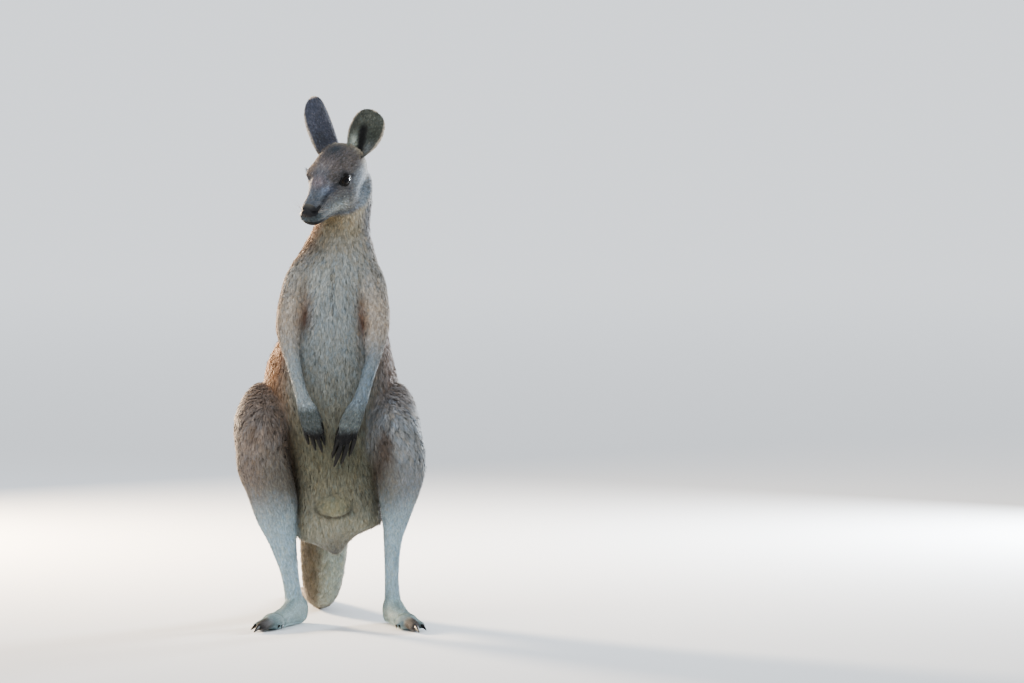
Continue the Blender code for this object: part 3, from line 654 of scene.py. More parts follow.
def faceHue(points, owners, hue):
    s, t, u = inHead(points).T
    side, under = np.abs(t), u - mouthLevel(s)
    streak = near(u, np.interp(s, [0.03, 0.05, 0.07, 0.09], [-0.005, -0.01, -0.019, -0.026]), 0.0065)
    tear = blob((s - 0.022, 0.009), (side - 0.04, 0.012), (u - 0.0005, 0.0032))
    face = layered(np.tile(hues["face"], (len(points), 1)),
                   ("cheek", ease(-0.02, -0.045, u) * ease(-0.02, 0.03, s)),
                   ("cheekBack", ease(0.0, -0.035, s) * ease(0.015, -0.02, u) * ease(0.02, 0.035, side)),
                   ("brow", ease(0.0, 0.018, u) * ease(0.055, 0.02, s)),
                   # painted warm sunlight on the right side of the brow
                   ("browSunlit", 0.8 * ease(-0.01, -0.028, t) * ease(0.008, 0.02, u) * near(s, 0.012, 0.03)),
                   ("crown", 0.9 * ease(0.022, 0.042, u + 0.25 * s) * ease(0.04, -0.01, s)),
                   ("bridge", 0.85 * ease(0.03, 0.01, side) * ease(-0.03, 0.04, s)),
                   ("stripe", 0.85 * streak * ease(0.018, 0.038, s) * ease(0.088, 0.072, s)
                    * ease(0.012, 0.02, side)),
                   ("lip", blob((s - 0.066, 0.03), (u + 0.048, 0.011)) * ease(0.01, 0.02, side)),
                   ("lipDark", 0.9 * near(u, -0.04, 0.008) * ease(0.075, 0.1, s)),
                   # a dark band below the mouth line: the dark lower lip, and painted shadow under the chin
                   ("mouth", 0.92 * ease(0.0, -0.0025, under) * ease(-0.016, -0.01, under)
                    * ease(0.068, 0.096, s)),
                   ("lidRim", 0.95 * ease(0.25, 0.6, tear)))
    for ball in "RL":
        edge, facing, b, radius = lidMeasure(points, ball)
        close = (facing > 0.1) & (radius < 0.045)
        face = layered(face, ("browDark", 0.8 * close * ease(0.015, 0.004, edge)),
                       ("lidRim", close * ease(0.0052, 0.003, edge)))
    # the pad's top is made lighter as painted light
    pad = blend(hues["nose"], hues["noseTopLit"], ease(-0.02, -0.01, u))
    face = layered(blend(face, pad, noseMask(s, t, u) * 0.98),
                   ("nose", 0.9 * ease(0.15, 0.5, nostrilMask(s, t, u))),
                   ("mouth", 0.95 * mouthMask(s, t, u, 0.0016)))
    jaw = np.interp(s, [-0.11, -0.09, -0.04, 0.0, 0.036, 0.072],
                    [-0.03, -0.055, -0.08, -0.083, -0.079, -0.075])
    face = blend(hue, face, ease(-0.1, -0.05, s) * ease(-0.006, 0.004, u - jaw))
    return np.where(onHead(owners)[:, None], face, hue)


# ears: inside, slot and pale rim, the rim brightened as painted backlight, in each ear's own axes

earPlan = {
    "length": 0.132, "root": {"R": (-0.07, -0.024, 0.022), "L": (-0.07, 0.031, 0.022)},
    "axis": {"R": (-0.4, 0.1, 0.92), "L": (0.36, 0.52, 0.775)},
    "open": {"R": (-0.7, 0.71, 0.0), "L": (0.12, -0.98, 0.1)}}


def earAxes(side):
    s, t, u = earPlan["root"][side]
    root = headMiddle + ahead * s + left * t + up * u
    axis = Vector(earPlan["axis"][side]).normalized()
    opening = Vector(earPlan["open"][side])
    opening = (opening - axis * opening.dot(axis)).normalized()
    return np.array(root), np.array(axis), np.array(opening), np.array(axis.cross(opening))


def earHue(points, normals, owners, hue):
    for side in "RL":
        root, axis, opening, across = earAxes(side)
        rise = (points - root) @ axis / earPlan["length"]
        wide = (points - root) @ across
        inner = ease(-0.12, 0.15, normals @ opening)
        middle = np.interp(rise, [0.0, 0.12, 0.5, 0.8], [0.012, 0.009, -0.004, -0.008])
        slot = np.exp(-((wide - middle) / (0.0072 + 0.0045 * near(rise, 0.45, 0.16))) ** 4)
        half = np.interp(rise, earPlan["rise"], earPlan["half"][side])
        # pale fringe at the ear's edge and tip, brightened as painted backlight
        rim = ease(0.82, 0.95, np.abs(wide) / half) * ease(0.0, 0.15, rise)
        rim = np.maximum(rim, ease(0.955, 0.985, rise))
        ear = layered(hues["earBack"], ("earInside", inner),
                      ("earHair", 0.85 * inner * blob((wide + 0.017, 0.009), (rise - 0.24, 0.14))),
                      ("earLobe", 0.8 * inner * blob((wide - 0.02, 0.011), (rise - 0.22, 0.16))),
                      ("earSlot", slot * inner * ease(0.72, 0.56, rise)),
                      ("earRimBacklit", 0.8 * rim * (1 - inner * 0.3)),
                      ("brow", 0.6 * ease(0.16, 0.02, rise) * (1 - inner)))
        hue = np.where(isNode(owners, "ear_" + side)[:, None], ear, hue)
    return hue


def measureEars():  # the widest reach either side of the axis at each height
    places = pointsOf(skin.data)
    owners = nodeAt(places)
    earPlan["rise"] = np.linspace(0, 1, 15)
    earPlan["half"] = {}
    for side in "RL":
        root, axis, opening, across = earAxes(side)
        mine = places[isNode(owners, "ear_" + side)]
        rise, wide = (mine - root) @ axis / earPlan["length"], np.abs((mine - root) @ across)
        levels = [wide[np.abs(rise - level) < 0.04] for level in earPlan["rise"]]
        earPlan["half"][side] = [max([0.004, *some]) for some in levels]


measureEars()

# changes of tone on face and ears: middle and reach in the head's axes, change of red, green and blue
faceTints = [
    ((0.005, 0.004, 0.035), (0.02, 0.02, 0.012), (2.05, 1.78, 1.58)),
    ((0.047, 0.005, 0.014), (0.024, 0.012, 0.012), (1.85, 1.42, 1.28)),
    ((0.056, 0.019, -0.003), (0.015, 0.009, 0.008), (1.38, 1.52, 1.7)),
    ((0.04, 0.028, -0.002), (0.013, 0.012, 0.011), (1.4, 1.48, 1.72)),
    ((0.025, 0.03, -0.056), (0.032, 0.03, 0.014), (2.3, 2.2, 2.0)),
    ((-0.032, 0.051, -0.076), (0.022, 0.024, 0.02), (1.52, 1.5, 1.45)),
    ((-0.004, 0.055, -0.004), (0.01, 0.022, 0.009), (0.38, 0.46, 0.58)),
    ((0.006, 0.043, -0.095), (0.024, 0.03, 0.014), (1.28, 1.42, 1.75))]
earTints = [
    ((-0.061, -0.042, 0.055), (0.022, 0.022, 0.026), (0.68, 0.68, 0.64)),
    ((-0.045, 0.0, 0.045), (0.014, 0.014, 0.01), (0.4, 0.56, 0.7)),
    ((-0.138, 0.042, 0.04), (0.03, 0.016, 0.05), (0.5, 0.54, 0.52))]


def tinted(hue, places, tints):
    for middle, reach, change in tints:
        hue = hue * (1 + (np.array(change) - 1) * np.exp(-awayFrom(places, middle, reach))[:, None])
    return hue


def markingsLightAndShade(points, normals, owners, hue):  # hue: the body's part, already evened over the skin
    hue = faceHue(points, owners, hue)
    hue = earHue(points, normals, owners, hue)
    places = inHead(points)
    hue = tinted(hue, np.where([False, True, False], np.abs(places), places), faceTints)
    hue = tinted(hue, places, earTints)
    side, front = roundBody(points)
    z = points[:, 2]
    trunk = isNode(owners, "trunk") & (front > 0)
    # a dark line down the chest's middle furrow, painted shade
    furrowShade = near(side + 0.003, 0.0, 0.0024) * ease(0.7, 0.73, z) * ease(0.83, 0.8, z) * trunk
    seam = near(side - 0.014, 0.0, 0.0035) * ease(0.44, 0.48, z) * ease(0.58, 0.53, z) * trunk
    # darker along the crease below the mound, painted shade
    crease = near(aroundMound(points), 1.05, 0.16) * ease(0.288, 0.262, z) * trunk
    return hue * (1 - 0.62 * furrowShade - 0.25 * seam)[:, None] * (1 - 0.6 * crease)[:, None]


# the lie, length and thickness of the coat at every point of the skin

coatPlan = {
    "length": {"trunk": 0.0165, "neck": 0.013, "head": 0.0064, "ear": 0.0042, "tail_base": 0.014,
        "tail_middle": 0.012, "tail_tip": 0.011, "upper_arm": 0.0115, "forearm": 0.008, "hand": 0.0044,
        "thigh": 0.016, "shank": 0.0086, "foot": 0.0054, "toes": 0.003, "eye": 0.002},
    "cover": {"ear": 1.9, "head": 2.6, "hand": 2.2, "toes": 1.8, "foot": 2.2, "shank": 2.8, "forearm": 3.0},
    "usualCover": 4.6, "slimness": 0.112, "yaw": 0.13, "lockYaw": 0.17, "roll": 0.5,
    "rootDark": {"trunk": 0.86, "neck": 0.78, "thigh": 0.56, "ear": 0.6}, "usualRoot": 0.64,
    "tipLight": 1.52,
    "lockTone": {"trunk": 0.075, "thigh": 0.12, "head": 0.2, "ear": 0.22, "hand": 0.2, "shank": 0.08,
        "forearm": 0.09},
    "usualTone": 0.11, "tuftTone": 0.1,
    "lock": {"trunk": 0.007, "neck": 0.006, "head": 0.0034, "ear": 0.0036, "tail_base": 0.008,
        "tail_middle": 0.007, "tail_tip": 0.006, "upper_arm": 0.0062, "forearm": 0.0042, "hand": 0.0032,
        "thigh": 0.008, "shank": 0.0045, "foot": 0.0034, "toes": 0.0028},
    "usualLock": 0.005, "pull": {"trunk": 0.42, "neck": 0.42, "thigh": 0.68}, "usualPull": 0.6,
    "longBy": (0.72, 1.25), "wideBy": (0.38, 0.68), "liftBy": (0.55, 1.05), "stray": 0.065,
    "strayLift": (1.45, 0.0006), "strayWidth": 0.5, "rootSunk": 0.0005, "warmth": (0.03, 0.035),
    "usualLength": 0.008, "usualDepth": 0.004, "perPiece": 95000}
lie = {
    "trunk": (0, 0.05, -1), "neck": (0, 0.15, -1), "upper_arm_R": (-0.2, -0.35, -1),
    "upper_arm_L": (0.2, -0.35, -1), "forearm_R": (0.1, -0.4, -1), "forearm_L": (-0.14, -0.4, -1),
    "hand_R": (0.3, -0.28, -1), "hand_L": (-0.38, -0.25, -1), "thigh_R": (-0.34, 0.22, -1),
    "thigh_L": (0.34, 0.22, -1), "shank_R": (0.16, 0.28, -1), "shank_L": (-0.04, 0.28, -1),
    "foot_R": (-0.33, -0.95, -0.25), "foot_L": (0.24, -0.97, -0.25), "toes_R": (-0.33, -0.95, -0.15),
    "toes_L": (0.24, -0.97, -0.15), "tail_base": (-0.1, 0.75, -0.65), "tail_middle": (-0.1, 0.97, -0.15),
    "tail_tip": (-0.28, 0.96, -0.05), "head": (0, 0, 0), "eye": (0, 0, 0), "ear_R": (0, 0, 0),
    "ear_L": (0, 0, 0)}


def flowOver(points, owners):
    flow = byNode(owners, lie, (0, 0, -1))
    side, front = roundBody(points)
    z = points[:, 2]
    trunk = isNode(owners, "trunk")
    flow[trunk, 0] += (side / 0.09 * (1.25 * near(z, 0.78, 0.06) - 0.6 * near(z, 0.47, 0.09)))[trunk]
    flow[trunk, 1] += (ease(0.0, -0.08, front) * 0.35 + ease(0.55, 0.4, z) * 0.2)[trunk]
    s, t, u = inHead(points).T
    skull = onHead(owners)
    down = ease(0.0, -0.05, u) * 0.55
    aside = np.sign(t) * 0.15 * ease(0.02, 0.09, s)
    back = (-headAxes[0][None, :] - headAxes[2][None, :] * down[:, None]
            + headAxes[1][None, :] * aside[:, None])
    throat = ease(-0.07, -0.09, u)  # the coat turns down where the throat begins
    flow[skull] = blend(back, np.array(lie["neck"]), throat)[skull]
    for ear in "RL":
        root, axis, opening, across = earAxes(ear)
        mine = isNode(owners, "ear_" + ear)
        wide = (points - root) @ across
        apart = np.sign(wide) * 0.45 * ease(0.01, 0.03, np.abs(wide))
        flow[mine] = (axis[None, :] + across[None, :] * apart[:, None])[mine]
    return unit(flow)


def flat(vectors, normals):  # laid along the surface
    return unit(vectors - normals * np.sum(vectors * normals, axis=1, keepdims=True))


def coatFields():
    points, normals, edges = pointsOf(skin.data), normalsOf(skin.data), edgesOf(skin.data)
    owners = nodeAt(points)
    flow = flat(flowOver(points, owners), normals)
    for _ in range(3):
        flow = flat(spread(flow, edges, 10) + 1e-6, normals)
    s = inHead(points)[:, 0]
    muzzle = ease(-0.01, 0.07, s) * isNode(owners, "head")
    bald = ease(1.5, 1.1, aroundMound(points)) * isNode(owners, "trunk")
    length = byNode(owners, coatPlan["length"], coatPlan["usualLength"])
    length = spread(length * (1 - 0.5 * muzzle), edges, 10) * (1 - 0.55 * bald)
    deep = spread(byNode(owners, coatDepth, coatPlan["usualDepth"]) * (1 - 0.75 * muzzle), edges, 14)
    side = roundBody(points)[0]
    deep += 0.005 * near(points[:, 2], 0.86, 0.06) * ease(-0.015, -0.045, side) * (s < -0.02)
    hue = spread(coatHue(points, normals, owners), edges, 5)
    return {"points": points, "normals": normals, "owners": owners, "flow": flow, "length": length,
            "depth": deep, "hue": hue}


fields = coatFields()


def bareness(points, normals, owners):  # 1 where nothing grows
    s, t, u = inHead(points).T
    bare = np.maximum(ease(0.35, 0.75, noseMask(s, t, u)),
                      ease(0.35, 0.6, mouthMask(s, t, u, 0.0014))) * onHead(owners)
    for side in "RL":
        edge, facing, b, radius = lidMeasure(points, side)
        bare = np.maximum(bare, (facing > 0.1) * (radius < 0.03) * ease(0.003, 0.0018, edge))
    foot = (owners >= softNames.index("foot_R")) & (owners <= softNames.index("toes_L"))
    return np.maximum(bare, foot * ease(-0.35, -0.6, normals[:, 2]) * ease(0.025, 0.015, points[:, 2]))


hideLook = {
    "underCoatShade": 0.88, "patches": 0.1, "flecks": 0.1, "grain": 1100, "dry": 0.82, "damp": 0.5,
    "roughSpread": 0.12, "bump": 0.45, "bumpHeight": 0.0006, "shine": 0.32}


def paintSkin():
    place = [fields[key] for key in ("points", "normals", "owners")]
    bare = bareness(*place)
    # skin under the coat is darkened as painted shade beneath the fur
    hue = markingsLightAndShade(*place, fields["hue"]) * blend(np.full(3, hideLook["underCoatShade"]), np.full(3, 1.0), bare)
    layer = skin.data.color_attributes.new("hue", "FLOAT_COLOR", "POINT")
    layer.data.foreach_set("color", np.column_stack([hue, np.ones(len(hue))]).astype(np.float32).ravel())
    layer = skin.data.attributes.new("bare", "FLOAT", "POINT")
    layer.data.foreach_set("value", bare.astype(np.float32))


paintSkin()
print("skin marked")


def scatterRoots():
    skin.data.calc_loop_triangles()
    tris = numbersOf(skin.data.loop_triangles, "vertices", 3, np.int32)
    p = fields["points"][tris]
    area = np.linalg.norm(np.cross(p[:, 1] - p[:, 0], p[:, 2] - p[:, 0]), axis=1) / 2
    length = fields["length"][tris].mean(1)
    cover = byNode(fields["owners"], coatPlan["cover"], coatPlan["usualCover"])[tris].mean(1)
    wanted = area * cover * 2 / (length * length * coatPlan["slimness"])
    count = np.floor(wanted + pick.random(len(wanted))).astype(int)
    face = np.repeat(np.arange(len(tris)), count)
    a, b = pick.random(len(face)), pick.random(len(face))
    over = a + b > 1
    a[over], b[over] = 1 - a[over], 1 - b[over]
    weights = np.column_stack([1 - a - b, a, b])
    corners = tris[face]
    roots = {key: np.einsum("ij,ij...->i...", weights, fields[key][corners])
             for key in ("points", "normals", "flow", "length", "depth", "hue")}
    roots["owners"] = fields["owners"][corners[np.arange(len(face)), weights.argmax(1)]]
    roots["normals"] = unit(roots["normals"])
    roots["flow"] = flat(roots["flow"], roots["normals"])
    keep = bareness(roots["points"], roots["normals"], roots["owners"]) < pick.random(len(face))
    return {key: value[keep] for key, value in roots.items()}


roots = scatterRoots()
print("roots set,", len(roots["owners"]))


# materials: node groups for what coat and skin share, shaders in each material

def setSockets(tree, node, sockets):  # each takes a constant, or the output of another node
    for key, value in sockets.items():
        if isinstance(value, bpy.types.NodeSocket):
            tree.links.new(value, node.inputs[key])
        else:
            node.inputs[key].default_value = value


def added(tree, kind, sockets, **settings):
    node = tree.nodes.new("ShaderNode" + kind)
    for key, value in settings.items():
        setattr(node, key, value)
    setSockets(tree, node, sockets)
    return node.outputs


def ramped(tree, factor, stops):
    node = tree.nodes.new("ShaderNodeValToRGB")
    tree.links.new(factor, node.inputs["Fac"])
    for number, (at, colour) in enumerate(stops):
        stop = node.color_ramp.elements[number] if number < 2 else node.color_ramp.elements.new(at)
        stop.position = at
        stop.color = (*colour, 1)
    return node.outputs["Color"]


def newGroup(name, inputs, outputs):
    group = bpy.data.node_groups.new(name, "ShaderNodeTree")
    for label, value in inputs.items():
        kind = "NodeSocketColor" if isinstance(value, tuple) else "NodeSocketFloat"
        group.interface.new_socket(label, in_out="INPUT", socket_type=kind).default_value = value
    for label, kind in outputs.items():
        group.interface.new_socket(label, in_out="OUTPUT", socket_type="NodeSocket" + kind)
    return group, group.nodes.new("NodeGroupInput").outputs, group.nodes.new("NodeGroupOutput")


def furToneGroup():  # broad patches and fine flecks laid over the marked colour
    look = {"Hue": (0.3, 0.3, 0.3, 1), "Patches": 0.1, "Flecks": 0.15}
    group, into, out = newGroup("furTone", look, {"Color": "Color", "Rough": "Float"})
    place = added(group, "TexCoord", {})["Object"]
    gains = []
    for amount, scale, detail in (("Patches", 26, 3), ("Flecks", 640, 2)):
        noise = added(group, "TexNoise", {"Vector": place, "Scale": scale, "Detail": detail})["Fac"]
        centred = added(group, "Math", {0: noise, 1: 0.5}, operation="SUBTRACT")[0]
        strength = added(group, "Math", {0: into[amount], 1: 4.0}, operation="MULTIPLY")[0]
        gains.append(added(group, "Math", {0: centred, 1: strength, 2: 1.0}, operation="MULTIPLY_ADD")[0])
    both = added(group, "Math", {0: gains[0], 1: gains[1]}, operation="MULTIPLY")[0]
    tone = added(group, "VectorMath", {0: into["Hue"], "Scale": both}, operation="SCALE")[0]
    steps = {"Value": noise, "From Min": 0.3, "From Max": 0.7, "To Min": 0.62, "To Max": 0.82}
    setSockets(group, out, {"Color": tone, "Rough": added(group, "MapRange", steps)[0]})
    return group


def grainGroup():  # small pebbled relief of bare skin, and its wetter patches
    group, into, out = newGroup("hideGrain", {"Scale": 900}, {"Height": "Float", "Fac": "Float"})
    place = added(group, "TexCoord", {})["Object"]
    cells = added(group, "TexVoronoi", {"Vector": place, "Scale": into["Scale"]},
                  feature="SMOOTH_F1")["Distance"]
    noise = added(group, "TexNoise", {"Vector": place, "Detail": 4, "Scale": 160})["Fac"]
    total = added(group, "Math", {0: cells, 1: 0.7, 2: noise}, operation="MULTIPLY_ADD")[0]
    setSockets(group, out, {"Height": total, "Fac": noise})
    return group


furTone, hideGrain = furToneGroup(), grainGroup()


def newMaterial(name):
    material = bpy.data.materials.new(name)
    material.use_nodes = True
    return material, material.node_tree, material.node_tree.nodes["Principled BSDF"]


coatLook = {
    "patches": 0.07, "flecks": 0.1, "shine": 0.28, "sheen": 0.22, "sheenRough": 0.45,
    "sheenTint": (1.0, 0.93, 0.84, 1)}


def coatMaterial():
    material, tree, shader = newMaterial("coat")
    hue = added(tree, "Attribute", {}, attribute_name="hue")["Color"]
    amounts = {"Hue": hue, "Patches": coatLook["patches"], "Flecks": coatLook["flecks"]}
    tone = added(tree, "Group", amounts, node_tree=furTone)
    setSockets(tree, shader, {"Base Color": tone["Color"], "Roughness": tone["Rough"],
                              "Specular IOR Level": coatLook["shine"], "Sheen Weight": coatLook["sheen"],
                              "Sheen Roughness": coatLook["sheenRough"], "Sheen Tint": coatLook["sheenTint"]})
    return material


def hideMaterial():
    material, tree, shader = newMaterial("hide")
    hue = added(tree, "Attribute", {}, attribute_name="hue")["Color"]
    bare = added(tree, "Attribute", {}, attribute_name="bare")["Fac"]
    amounts = {"Hue": hue, "Patches": hideLook["patches"], "Flecks": hideLook["flecks"]}
    tone = added(tree, "Group", amounts, node_tree=furTone)["Color"]
    grain = added(tree, "Group", {"Scale": hideLook["grain"]}, node_tree=hideGrain)
    damp = added(tree, "MapRange", {"Value": bare, "To Min": hideLook["dry"], "To Max": hideLook["damp"]})[0]
    rough = added(tree, "Math", {0: grain["Fac"], 1: hideLook["roughSpread"], 2: damp},
                  operation="MULTIPLY_ADD")[0]
    relief = {"Height": grain["Height"], "Strength": hideLook["bump"], "Distance": hideLook["bumpHeight"]}
    setSockets(tree, shader, {"Base Color": tone, "Roughness": rough,
                              "Normal": added(tree, "Bump", relief)["Normal"],
                              "Specular IOR Level": hideLook["shine"]})
    return material


# tufts: each a bent leaf of two triangles, its root in the skin and its tip laid along the body

mapPlan = {"ratio": 0.03, "angle": math.radians(66), "margin": 0.004, "patch": 0.0015, "edge": 0.0005}


def unwrapOfSkin():  # a coarse copy of the skin laid out flat, for the tufts' places on the bake's map
    coarse = newObject("coarse", skin.data.copy())
    coarse.modifiers.new("thin", "DECIMATE").ratio = mapPlan["ratio"]
    applied(coarse)
    bpy.context.view_layer.objects.active = coarse
    bpy.ops.object.select_all(action="DESELECT")
    coarse.select_set(True)
    bpy.ops.object.mode_set(mode="EDIT")
    bpy.ops.mesh.select_all(action="SELECT")
    bpy.ops.mesh.quads_convert_to_tris()
    bpy.ops.uv.smart_project(angle_limit=mapPlan["angle"], island_margin=mapPlan["margin"])
    bpy.ops.object.mode_set(mode="OBJECT")
    mesh = coarse.data
    corner = numbersOf(mesh.uv_layers.active.data, "uv", 2)
    verts = numbersOf(mesh.loops, "vertex_index", 1, np.int32).reshape(-1, 3)
    bm = bmesh.new()
    bm.from_mesh(mesh)
    tree = BVHTree.FromBMesh(bm)
    bm.free()
    found = pointsOf(mesh)[verts], corner.reshape(-1, 3, 2), tree
    bpy.data.objects.remove(coarse)
    return found


def placesOnMap(points):
    corners, uvs, tree = unwrapOfSkin()
    face = np.array([tree.find_nearest(p)[2] for p in points.tolist()])
    a, b, c = corners[face, 0], corners[face, 1], corners[face, 2]
    v0, v1, v2 = b - a, c - a, points - a
    d00, d01, d11 = (v0 * v0).sum(1), (v0 * v1).sum(1), (v1 * v1).sum(1)
    d20, d21 = (v2 * v0).sum(1), (v2 * v1).sum(1)
    base = np.maximum(d00 * d11 - d01 * d01, 1e-16)
    v = np.clip((d11 * d20 - d01 * d21) / base, 0, 1)
    w = np.clip((d00 * d21 - d01 * d20) / base, 0, 1)
    over = np.maximum(v + w, 1)
    weights = np.column_stack([1 - (v + w) / over, v / over, w / over])
    return np.einsum("ij,ijk->ik", weights, uvs[face])


def lockOf(roots):  # the lock each tuft leans into: the nearest of some scattered middles
    size = byNode(roots["owners"], coatPlan["lock"], coatPlan["usualLock"])
    cover = byNode(roots["owners"], coatPlan["cover"], coatPlan["usualCover"])
    chance = roots["length"] ** 2 * coatPlan["slimness"] / (2 * cover * size ** 2)
    middles = np.nonzero(pick.random(len(size)) < chance)[0]
    tree = KDTree(len(middles))
    for number, point in enumerate(roots["points"][middles].tolist()):
        tree.insert(point, number)
    tree.balance()
    nearest = np.array([tree.find(point)[1] for point in roots["points"].tolist()])
    return nearest, middles, size


def tuftShapes(roots, lock, middles, size):
    count = len(roots["owners"])
    n, f = roots["normals"], roots["flow"]
    yaw = (pick.normal(0, coatPlan["yaw"], count)
           + pick.normal(0, coatPlan["lockYaw"], len(middles))[lock])[:, None]
    f = f * np.cos(yaw) + np.cross(n, f) * np.sin(yaw)
    across = np.cross(n, f)
    aside = np.sum((roots["points"][middles][lock] - roots["points"]) * across, axis=1)
    same = np.sum(n[middles][lock] * n, axis=1) > 0.4
    aside = np.clip(aside, -size, size) * same
    edge = np.clip(np.abs(aside) / (0.55 * size), 0, 1)  # 0 in the middle of a lock, 1 between locks
    length = roots["length"] * pick.uniform(*coatPlan["longBy"], count)
    half = roots["length"] * coatPlan["slimness"] * pick.uniform(*coatPlan["wideBy"], count)
    lift = roots["depth"] * pick.uniform(*coatPlan["liftBy"], count) * (1.1 - 0.34 * edge) + 0.0002
    stray = pick.random(count) < coatPlan["stray"]
    lift = np.where(stray, lift * coatPlan["strayLift"][0] + coatPlan["strayLift"][1], lift)
    half = np.where(stray, half * coatPlan["strayWidth"], half)
    roll = pick.normal(0, coatPlan["roll"], count)
    tilt = across * np.cos(roll)[:, None] + n * np.sin(roll)[:, None]
    start = roots["points"] - n * coatPlan["rootSunk"]
    pull = byNode(roots["owners"], coatPlan["pull"], coatPlan["usualPull"])
    lean = across * (aside * pull * ~stray)[:, None]
    middle = roots["points"] + f * (length * 0.42)[:, None] + n * (lift * 0.72)[:, None] + lean * 0.35
    tip = roots["points"] + f * length[:, None] + n * lift[:, None] + lean
    shape = np.stack([start, middle + tilt * half[:, None], tip, middle - tilt * half[:, None]], 1)
    return shape, tilt, edge


def tuftHues(roots, lock, middles, edge):
    count = len(roots["owners"])
    hue = markingsLightAndShade(roots["points"], roots["normals"], roots["owners"], roots["hue"])
    strength = byNode(roots["owners"], coatPlan["lockTone"], coatPlan["usualTone"])
    byTuft = pick.normal(0, coatPlan["tuftTone"], count)
    byLock = pick.normal(0, 1, len(middles))[lock] * strength
    # tufts between locks are darkened as painted shade
    tone = np.exp(byTuft + byLock) * (1.04 - 0.12 * edge)
    ofTuft, ofLock = coatPlan["warmth"]
    warmth = pick.normal(0, ofTuft, count) + pick.normal(0, ofLock, len(middles))[lock]
    hue = np.clip(hue * tone[:, None] * (1 + warmth[:, None] * np.array([1.0, 0.1, -1.0])), 0.004, 0.9)
    root = byNode(roots["owners"], coatPlan["rootDark"], coatPlan["usualRoot"])
    steps = np.stack([root, root * 0 + 0.97, coatPlan["tipLight"] - root * 0.5, root * 0 + 0.97], 1)
    return np.clip(hue[:, None, :] * steps[..., None], 0.003, 0.92)


def coatPiece(name, shape, hue, normals, onMap, material):
    count = len(shape)
    mesh = bpy.data.meshes.new(name)
    mesh.vertices.add(count * 4)
    mesh.loops.add(count * 6)
    mesh.polygons.add(count * 2)
    mesh.vertices.foreach_set("co", shape.astype(np.float32).ravel())
    corners = (np.arange(count)[:, None] * 4 + np.array([0, 3, 1, 3, 2, 1])[None, :]).astype(np.int32)
    mesh.loops.foreach_set("vertex_index", corners.ravel())
    mesh.polygons.foreach_set("loop_start", np.arange(0, count * 6, 3, dtype=np.int32))
    mesh.polygons.foreach_set("use_smooth", np.ones(count * 2, bool))
    layer = mesh.color_attributes.new("hue", "FLOAT_COLOR", "POINT")
    tones = np.concatenate([hue, np.ones((count, 4, 1))], 2)
    layer.data.foreach_set("color", tones.astype(np.float32).ravel())
    uv = mesh.uv_layers.new(name="OFBake")
    patch = np.array([(0, -1), (-1, 0), (1, 0), (-1, 0), (0, 1), (1, 0)]) * mapPlan["patch"]
    places = np.clip(onMap[:, None, :] + patch[None], mapPlan["edge"], 1 - mapPlan["edge"])
    uv.data.foreach_set("uv", places.astype(np.float32).ravel())
    mesh.update()
    mesh.normals_split_custom_set_from_vertices(normals.reshape(-1, 3).astype(np.float32))
    mesh.materials.append(material)
    piece = newObject(name, mesh)
    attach(piece, "root")
    return piece


coatRegions = {
    "trunk": ["trunk"], "head": ["neck", "head", "eye"], "ears": ["ear"],
    "tail": ["tail_base", "tail_middle", "tail_tip"], "arms": ["upper_arm", "forearm", "hand"],
    "legs": ["thigh", "shank"], "feet": ["foot", "toes"]}


def growCoat():
    lock, middles, size = lockOf(roots)
    shape, tilt, edge = tuftShapes(roots, lock, middles, size)
    hue = tuftHues(roots, lock, middles, edge)
    shape = np.clip(shape, np.array(cadLow) + 0.0001, np.array(cadHigh) - 0.0001)
    leaf = unit(np.cross(shape[:, 2] - shape[:, 0], tilt))
    leaf *= np.sign(np.sum(leaf * roots["normals"], axis=1, keepdims=True))
    soft = unit(0.55 * roots["normals"] + 0.45 * leaf)
    normals = np.repeat(soft[:, None, :], 4, 1)
    normals[:, 2] = unit(soft + 0.25 * roots["flow"])
    onMap = placesOnMap(roots["points"])
    material = coatMaterial()
    made = []
    for name, members in coatRegions.items():
        mine = np.nonzero(byNode(roots["owners"], dict.fromkeys(members, 1), 0))[0]
        parts = max(1, math.ceil(len(mine) / coatPlan["perPiece"]))
        for k in range(parts):
            some = mine[k::parts]
            label = "coat_" + name + (f"_{k + 1}" if parts > 1 else "")
            made.append(coatPiece(label, shape[some], hue[some], normals[some], onMap[some], material))
    return made


coatPieces = growCoat()
print("coat grown,", sum(len(p.data.polygons) for p in coatPieces), "triangles in", len(coatPieces), "pieces")

smoothed(skin, hideMaterial())
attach(skin, "root")
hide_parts(*fleshNames)


# eyes: a clear bulge over a brown iris and a wide dark pupil

irisPlan = {
    "wide": 0.0062, "tall": 0.005, "whole": 3.2, "streaks": 900, "wobble": 0.22, "rough": 0.06,
    "shine": 0.16, "clear": 0.05, "clearRough": 0.03,
    "stops": (
        (0.0, (0.002, 0.002, 0.003)), (0.34, (0.002, 0.002, 0.003)), (0.4, (0.006, 0.004, 0.003)),
        (0.52, (0.011, 0.007, 0.004)), (0.62, (0.005, 0.004, 0.004)), (0.72, (0.004, 0.004, 0.004)),
        (1.0, (0.008, 0.007, 0.007)))}
ballPlan = {"bulgeFrom": 0.8, "bulge": 0.045, "roundness": 0.8, "sunk": 0.0006, "rings": 32, "parts": 48}


